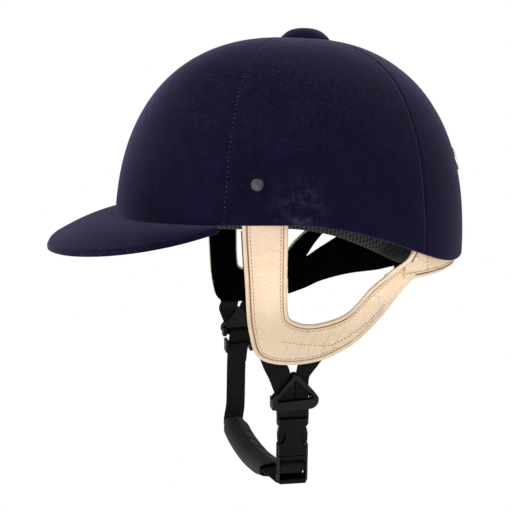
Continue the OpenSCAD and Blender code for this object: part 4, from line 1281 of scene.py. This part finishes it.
class HELMET_OT_nape(bpy.types.Operator):
    """Leather nape band with its lining, piping and stitches"""

    bl_idname = "helmet.nape"
    bl_label = "Nape band"

    def execute(self, context):
        self.band()
        self.front_piping()
        self.stitching()
        self.padding()
        return {"FINISHED"}

    def band(self):
        """The leather: a rolled foot, a groove for the stitches, and flat where the flap is sewn on."""
        t = np.linspace(NAPE_FROM, NAPE_TO, 200)[None, :]
        a = from_front(t)
        high = np.minimum(rim_z(t) + 7.0, nape_slant(a))
        v = np.concatenate([np.linspace(1, 0.3, 10), [0.24, 0.2, 0.16, 0.12, 0.08, 0.04, 0.0]])[:, None]
        z = NAPE_LOW_Z + (high - NAPE_LOW_Z) * v
        up = z - NAPE_LOW_Z
        sunk = 0.45 * np.exp(-((up - NAPE_STITCH_UP) ** 2) / 0.3)
        sunk = sunk + 0.7 * np.exp(-((up - 2.6) ** 2) / 0.25)
        roll = np.exp(-(up**2) / 0.35)
        sewn_on = 1 - smooth((a - 113) / 7)
        front = dome_at(t, z, NAPE_OUT + (sunk + roll) * (1 - sewn_on) + 1.2 * sewn_on)
        from_side = 0.48 * (nape_slant(a) - z) + 12 * (z < 11)
        from_edge = np.minimum(up + 12 * (sewn_on > 0.6) + 0.3, from_side)
        obj = slab("leather_nape", front, dome_at(t, z, NAPE_IN), "leather", uv=lay(from_edge, t))
        finished(obj, "helmet", "leather", "nape_band")

    def stitching(self):
        """A row along the foot and one upright row on each side."""
        lines = [dome_at(np.linspace(NAPE_FROM, NAPE_TO, 200), NAPE_LOW_Z + NAPE_STITCH_UP, 4.85)]
        for upright in (122.0, 238.0):
            lines.append(dome_at(upright, np.linspace(5.5, rim_z(upright) + 1, 30), 4.55))
        finished(thread_stitches("nape_stitches", lines), "helmet", "leather")

    def padding(self):
        """The roll of lining behind the leather."""
        t = np.linspace(119, 241, 150)[:, None]
        height = np.minimum(rim_z(t) + 6.5, NAPE_PAD_TOP_Z) - NAPE_PAD_LOW_Z
        where = (t, NAPE_PAD_LOW_Z, height, NAPE_PAD_OUT, NAPE_PAD_T)
        sections = roll_sections(*where, count=20, squareness=0.6)
        pad = sweep("nape_padding", sections, "lining_cloth")
        finished(pad, "helmet", "black_cloth", "nape_lining")

    def front_piping(self):
        """A cord of leather up the band's front edge on each side, from the flap to the rim."""
        edge = spaced(curve(FRONT_ROLL, 12), 60)
        out = (-0.35, 0.94, 0.0)
        rings = cord_rings(edge, unit(np.cross(headings(edge), out)), out)
        for side in ("left", "right"):
            cord = sweep(f"nape_piping_{side}", mirrored(rings, side), "piping_leather")
            finished(cord, "helmet", "leather")


# Webbing

HALF_SECTION = [(-1, 0.25), (-0.97, 0.8), (-0.9, 1)] + [(k, 1) for k in np.linspace(-0.75, 0.75, 7)]
HALF_SECTION += [(0.9, 1), (0.97, 0.8), (1, 0.25)]
STRAP_SECTION = HALF_SECTION + [(-u, -v) for u, v in HALF_SECTION]
STRAP_UNDER, STRAP_L = 3.7, 100
STRAP_Y = BAR_Y + STRAP_UNDER
# Points of the side straps: x, z, how far they lie on the flap's surface (1) or at the divider (0), and width
FRONT_STRAP = [
    (38.8, -10, 1, 18), (38.0, -30, 1, 18), (35.2, -45, 1, 18), (31.8, -58.6, 1, 16),
    (30.2, -63.2, 0.15, 15.6), (29.0, -67, 0, 15.2), (27.2, -74, 0, 13.8), (25.0, -80.8, 0, 12),
    (25.0, -84.8, 0, 12),
]
REAR_STRAP = [
    (-20, -33, 1, 8), (-9, -40.5, 1, 11), (0, -46.5, 1, 15), (5.5, -51.5, 1, 17), (8.8, -58.4, 1.25, 14),
    (11.4, -63.2, 0.15, 12), (12.8, -67.4, 0, 10.2), (13.2, -74, 0, 9.6), (13.2, -84.8, 0, 9.6),
]


def side_strap(name, points, side, node):
    """A strap from inside the flap down to the divider."""
    shift = 0.0 if side == "left" else RIGHT_X - LEFT_X
    path = spaced(curve(points, 10), 70)
    x, z, share, width = path.T[..., None]
    x = x + shift * (1 - np.clip(share, 0, 1))
    d = headings(np.concatenate([x, z], 1))
    u, v = np.array(STRAP_SECTION).T
    half = width / 2 * u
    px, pz = x - d[:, 1:] * half, z + d[:, :1] * half
    py = share * (flap_y(px) - STRAP_UNDER) + (1 - share) * STRAP_Y + WEBBING_T / 2 * v
    run = np.linspace(0, STRAP_L, len(path))[:, None]
    rings = mirrored(np.stack([px, py, pz], -1), side)
    obj = sweep(name, rings, "webbing", uv=lay(half, run))
    finished(obj, f"harness_{side}", "webbing", node)


def plastic_piece(name, node, body, edge):
    """A piece of black moulded plastic from its CAD node."""
    moulded(name, node, "moulded_plastic", body, "buckle_plastic", edge)


class HELMET_OT_straps(bpy.types.Operator):
    """Front and rear webbing of both sides, with their dividers"""

    bl_idname = "helmet.straps"
    bl_label = "Side straps and dividers"

    def execute(self, context):
        for side in ("left", "right"):
            for end, points in (("front", FRONT_STRAP), ("rear", REAR_STRAP)):
                side_strap(f"{end}_strap_{side}", points, side, f"{end}_webbing_{side}")
            plastic_piece(f"strap_divider_{side}", f"divider_{side}", f"harness_{side}", 0.7)
        return {"FINISHED"}


SOCKET_BAR_Z, LOOP_R, LOOP_L = -95.1, 3.0, 33
LOOP_SECTION = [
    (-1, -0.3), (-1, 0.3), (-0.95, 0.9), (-0.5, 1), (0, 1), (0.5, 1), (0.95, 0.9), (1, 0.3),
    (1, -0.3), (0.95, -0.9), (0.5, -1), (0, -1), (-0.5, -1), (-0.95, -0.9),
]


def turned(x, y, z, angle):
    """Points of the hanging buckle's own frame, turned about its upright line."""
    c, s = np.cos(np.radians(angle)), np.sin(np.radians(angle))
    return np.stack([LEFT_X + x * c - y * s, BAR_Y + x * s + y * c, z + 0 * c], -1)


class HELMET_OT_buckle(bpy.types.Operator):
    """Side-release buckle on its loop of webbing"""

    bl_idname = "helmet.buckle"
    bl_label = "Buckle"

    def execute(self, context):
        for half in ("socket", "plug"):
            plastic_piece(f"{half}_half", f"buckle_{half}", half, 0.5)
        for end in ("front", "rear"):
            plastic_piece(f"spring_arm_{end}", f"latch_arm_{end}", f"latch_{end}", 0.45)
        self.loop()
        return {"FINISHED"}

    def loop(self):
        """Webbing round the divider's bar and the socket's bar, turned with the buckle below the divider."""
        arcs = np.radians(np.linspace(0, 180, 19))
        drop = np.linspace(BAR_Z, SOCKET_BAR_Z, 12)[1:-1]
        course = [(np.cos(k), np.sin(k), BAR_Z) for k in arcs] + [(-1, 0, z) for z in drop]
        course += [(-np.cos(k), -np.sin(k), SOCKET_BAR_Z) for k in arcs] + [(1, 0, z) for z in drop[::-1]]
        c, up, middle = np.array(course).T[..., None]
        u, v = np.array(LOOP_SECTION).T
        r = LOOP_R + WEBBING_T / 2 * v
        x, y, z = WEBBING_W / 2 * u + 0 * c, r * c, middle + r * up
        rings = turned(x, y, z, BUCKLE_TURN * smooth((BAR_Z - 3.6 - z) / 2.8))
        uv = lay(WEBBING_W / 2 * u, np.linspace(0, LOOP_L, len(course))[:, None])
        obj = sweep("buckle_web_loop", rings, "webbing", closed=True, uv=uv)
        finished(obj, "socket", "webbing", "buckle_loop")


# Chin strap

TAIL = [(26.2, -75.0, -116.0), (25.0, -74.3, -104.0), (23.6, -73.9, -95.0), (23.0, -73.9, -88.8)]
HANG = [
    (23.0, -79.9, -88.8), (23.6, -79.9, -95.0), (25.0, -79.3, -104.0), (26.1, -77.2, -113.0),
    (26.7, -76.7, -128.0), (27.3, -75.7, -145.0), (28.5, -72.9, -160.0), (31.5, -66.9, -168.6),
]
CHIN_RUN = [
    (32.5, -62, -171.0), (32.3, -40, -171.6), (31.5, -15, -169.5), (30.0, 12, -165.3), (28.6, 35, -159.0),
    (27.4, 54, -152.4),
]
SLEEVE_HALF_W, SLEEVE_HALF_T, SLEEVE_L = 11.9, 6.0, 119
CREASES = (0.2, 0.36, 0.53, 0.74)
PLUG_BAR_Z = -137.2
PLUG_END = [(1.5, -16, -153.6), (0, -9.6, -151.2), (0, -6.6, -147.0), (0, -4.6, -143.4)]
PLUG_TAIL = [(0, -5.2, -133.0), (0, -10, -133.5)]


def strapped(obj, slot, *nodes):
    """A soft piece that runs from the right side of the strap to the plug, kept where it is made, in place of
    its CAD nodes.
    """
    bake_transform(obj)
    stands_for(nodes)


def arc(x, y, z, r, start, end, count):
    """Points of an arc across the strap's own plane."""
    a = np.radians(np.linspace(start, end, count))
    return [(x, y + r * np.cos(k), z + r * np.sin(k)) for k in a]


class HELMET_OT_chin_strap(bpy.types.Operator):
    """Chin webbing, its slide adjuster and the padded chin sleeve"""

    bl_idname = "helmet.chin_strap"
    bl_label = "Chin strap"

    def execute(self, context):
        self.web()
        plastic_piece("strap_loop", "strap_keeper", "chin_strap", 0.6)
        self.sleeve()
        return {"FINISHED"}

    def web(self):
        """Webbing from its sewn tail over the right divider, along the chin and round the plug's bar."""
        over = arc(RIGHT_X, -BAR_Y, BAR_Z, LOOP_R, 0, 180, 9)
        plug = np.array(PLUG_END + arc(0, 0, PLUG_BAR_Z, 3.45, -100, 100, 12) + PLUG_TAIL)
        points = np.vstack([TAIL + over + HANG + CHIN_RUN, turned(*plug.T, BUCKLE_TURN)])
        path = spaced(curve(points, 8), 420)
        angle = np.radians(BUCKLE_TURN * smooth((path[:, 1] - 40) / 25))
        d = headings(path)
        wide = np.stack([np.cos(angle), np.sin(angle), 0 * angle], -1)
        wide = unit(wide - d * np.sum(wide * d, 1, keepdims=True))
        thick = np.cross(d, wide)
        half = WEBBING_W / 2
        rings = [path + wide * half * u + thick * WEBBING_T / 2 * v for u, v in STRAP_SECTION]
        uv = lay(half * np.array(STRAP_SECTION)[:, 0], run_along(path)[:, None])
        obj = sweep("chin_web", np.stack(rings, 1), "webbing", uv=uv)
        strapped(obj, "webbing", "chin_webbing", "strap_end_webbing")

    def sleeve(self):
        """Oval padded tube: ribbed along its middle, creased across towards the neck, with an open mouth."""
        path = spaced(curve(CHIN_RUN, 20), 150)
        run = np.linspace(0, 1, len(path))[:, None]
        d = headings(path)[:, None, :]
        wide = unit(np.array([1.0, 0, 0]) - d * d[..., :1])
        up = np.cross(wide, d)
        up = up * np.sign(up[..., 2:3])
        over = np.sin(np.pi / 2 * np.linspace(1, -1, 141))
        c = np.concatenate([over, over[-2:0:-1]])[None, :]
        chin_side = (np.arange(c.shape[1]) < len(over))[None, :]
        s = np.where(chin_side, 1, -1) * (1 - np.abs(c) ** 2.5) ** 0.4
        swell = 0.8 + 0.2 * smooth(run / 0.12) - 0.12 * smooth((run - 0.9) / 0.1)
        ribs = 0.5 * np.cos(2 * np.pi * c / 0.13) * smooth((c + 0.2) / 0.06) * smooth((0.6 - c) / 0.06)
        at = run + 0.12 * c
        crease = sum(hump(at - k, 0.018) for k in CREASES)
        crease = crease * smooth((-0.1 - c) / 0.15) * smooth((c + 1.02) / 0.2)
        half_t = SLEEVE_HALF_T * swell + (ribs - 1.1 * crease) * chin_side
        outer = path[:, None, :] + wide * (SLEEVE_HALF_W * swell * c)[..., None]
        outer = outer + up * (half_t * s)[..., None]
        mouth = smooth((run - 0.84) / 0.16)
        flat = np.where(chin_side, 1, -1) * (1 - np.abs(c) ** 6) ** 0.3
        inner = path[:, None, :] + wide * ((9.7 - 0.6 * mouth) * c)[..., None]
        inner = inner + up * ((1.5 + 2.4 * mouth) * flat)[..., None]
        uv = lay(SLEEVE_HALF_W * c, SLEEVE_L * run)
        obj = slab("chin_sleeve", outer, inner, "pad_cloth", wrap=True, uv=uv)
        strapped(obj, "mesh", "chin_pad")


# Stage

CAMERA_AT = (0.14085, 0.46342, 0.10626)
CAMERA_WAY = (-0.2346, -0.9481, -0.2147)
CAMERA_LENS, SENSOR = 43.59, 36.0
FLOOR_Z, FLOOR_HALF = -750.0, 4000
# Name, place, the point it faces, width and power
LAMPS = (
    ("key", (0.95, 0.2, 0.95), (0.0, 0.05, 0.0), 0.7, 12.0),
    ("front", (0.36, 0.72, 0.08), (0.0, 0.0, 0.02), 0.6, 2.9),
    ("fill", (-0.9, 0.9, 0.2), (0.0, 0.0, 0.0), 0.9, 3.4),
    ("back", (-0.3, -1.0, 0.9), (0.0, 0.0, 0.05), 0.8, 3.5),
    ("low_front", (0.89, 0.12, -0.6), (0.0186, 0.0769, -0.115), 0.3, 5.0),
    ("low_side", (-0.18, 0.85, -0.39), (0.023, -0.077, -0.075), 0.25, 3.0),
)


def aimed(name, data, at, way):
    """A lamp or camera at a place, facing along a direction."""
    obj = placed(name, data)
    obj.location = at
    obj.rotation_euler = Vector(way).to_track_quat("-Z", "Y").to_euler()
    return obj


class HELMET_OT_stage(bpy.types.Operator):
    """Camera, floor, white surround and soft lamps"""

    bl_idname = "helmet.stage"
    bl_label = "Stage"

    def execute(self, context):
        scene = context.scene
        scene.view_settings.view_transform = "Standard"
        camera = bpy.data.cameras.new("camera")
        camera.lens, camera.sensor_width = CAMERA_LENS, SENSOR
        camera.clip_start = 0.01
        scene.camera = aimed("camera", camera, CAMERA_AT, CAMERA_WAY)
        corners = np.array([(-1, -1), (1, -1), (1, 1), (-1, 1)]) * FLOOR_HALF
        corners = [(x, y, FLOOR_Z) for x, y in corners]
        new_object("floor", corners, [(0, 1, 2, 3)], "pale_floor")
        world = scene.world or bpy.data.worlds.new("surround")
        scene.world = world
        world.use_nodes = True
        tree = world.node_tree
        tree.nodes.clear()
        soft, white = tree.nodes.new("ShaderNodeBackground"), tree.nodes.new("ShaderNodeBackground")
        for background in (soft, white):
            background.inputs["Color"].default_value = (1, 1, 1, 1)
        soft.inputs["Strength"].default_value = look().surround
        plain_to_camera(tree, soft, white, tree.nodes.new("ShaderNodeOutputWorld"))
        for name, at, target, size, energy in LAMPS:
            lamp = bpy.data.lights.new(name, "AREA")
            lamp.size, lamp.energy = size, energy
            aimed(name, lamp, at, Vector(target) - Vector(at))
        return {"FINISHED"}


# Settings and panel


def tint_setting(name, description, default):
    """A colour that the panel shows."""
    return FloatVectorProperty(
        name=name, description=description, default=default, size=3, min=0, max=1, subtype="COLOR"
    )


class HelmetLook(bpy.types.PropertyGroup):
    """Colours and sizes that a user would change"""

    velvet_colour: tint_setting("Velvet", "Colour of the velvet", (0.0040, 0.0025, 0.0125))
    velvet_sheen: FloatProperty(
        name="Sheen", description="Grey sheen of the pile", default=0.22, min=0, max=1, subtype="FACTOR"
    )
    leather_colour: tint_setting("Leather", "Colour of the harness leather", (0.795, 0.605, 0.425))
    # Painted shade low on the harness: how much darker the leather is painted there.
    leather_low_shade: FloatProperty(
        name="Tan", description="How much darker the leather is low on the harness",
        default=0.42, min=0, max=1, subtype="FACTOR",
    )
    thread_colour: tint_setting("Thread", "Colour of the harness thread", (0.33, 0.22, 0.12))
    webbing_colour: tint_setting("Webbing", "Colour of the webbing and linings", (0.0018, 0.0018, 0.002))
    mesh_colour: tint_setting("Headband", "Colour of the mesh headband", (0.03, 0.031, 0.031))
    pad_colour: tint_setting("Chin sleeve", "Colour of the chin sleeve", (0.019, 0.0195, 0.0195))
    plastic_colour: tint_setting("Plastic", "Colour of the buckle and dividers", (0.0007, 0.0007, 0.0008))
    stitch_pitch: FloatProperty(
        name="Stitch pitch", description="Distance from one harness stitch to the next",
        default=0.0025, min=0.002, max=0.006, unit="LENGTH",
    )
    surround: FloatProperty(
        name="Surround", description="Strength of the soft surround light", default=0.3, min=0, max=2
    )


OPERATORS = (
    HELMET_OT_stage, HELMET_OT_cover, HELMET_OT_peak, HELMET_OT_button, HELMET_OT_lining,
    HELMET_OT_neck_band, HELMET_OT_fittings, HELMET_OT_harness, HELMET_OT_nape, HELMET_OT_straps,
    HELMET_OT_buckle, HELMET_OT_chin_strap,
)


class HELMET_PT_panel(bpy.types.Panel):
    """Lists the helmet's pieces and settings"""

    bl_label = "Riding Helmet"
    bl_idname = "HELMET_PT_panel"
    bl_space_type = "VIEW_3D"
    bl_region_type = "UI"
    bl_category = "Helmet"

    def draw(self, context):
        settings = context.scene.helmet_look
        for name in settings.bl_rna.properties.keys():
            if name not in ("rna_type", "name"):
                self.layout.prop(settings, name)
        for operator in OPERATORS:
            self.layout.operator(operator.bl_idname)


def register():
    for kind in (HelmetLook, *OPERATORS, HELMET_PT_panel):
        bpy.utils.register_class(kind)
    bpy.types.Scene.helmet_look = PointerProperty(type=HelmetLook)


def unregister():
    del bpy.types.Scene.helmet_look
    for kind in reversed((HelmetLook, *OPERATORS, HELMET_PT_panel)):
        bpy.utils.unregister_class(kind)


def main():
    register()
    for operator in OPERATORS:
        group, name = operator.bl_idname.split(".")
        getattr(getattr(bpy.ops, group), name)()


if __name__ == "__main__":
    main()
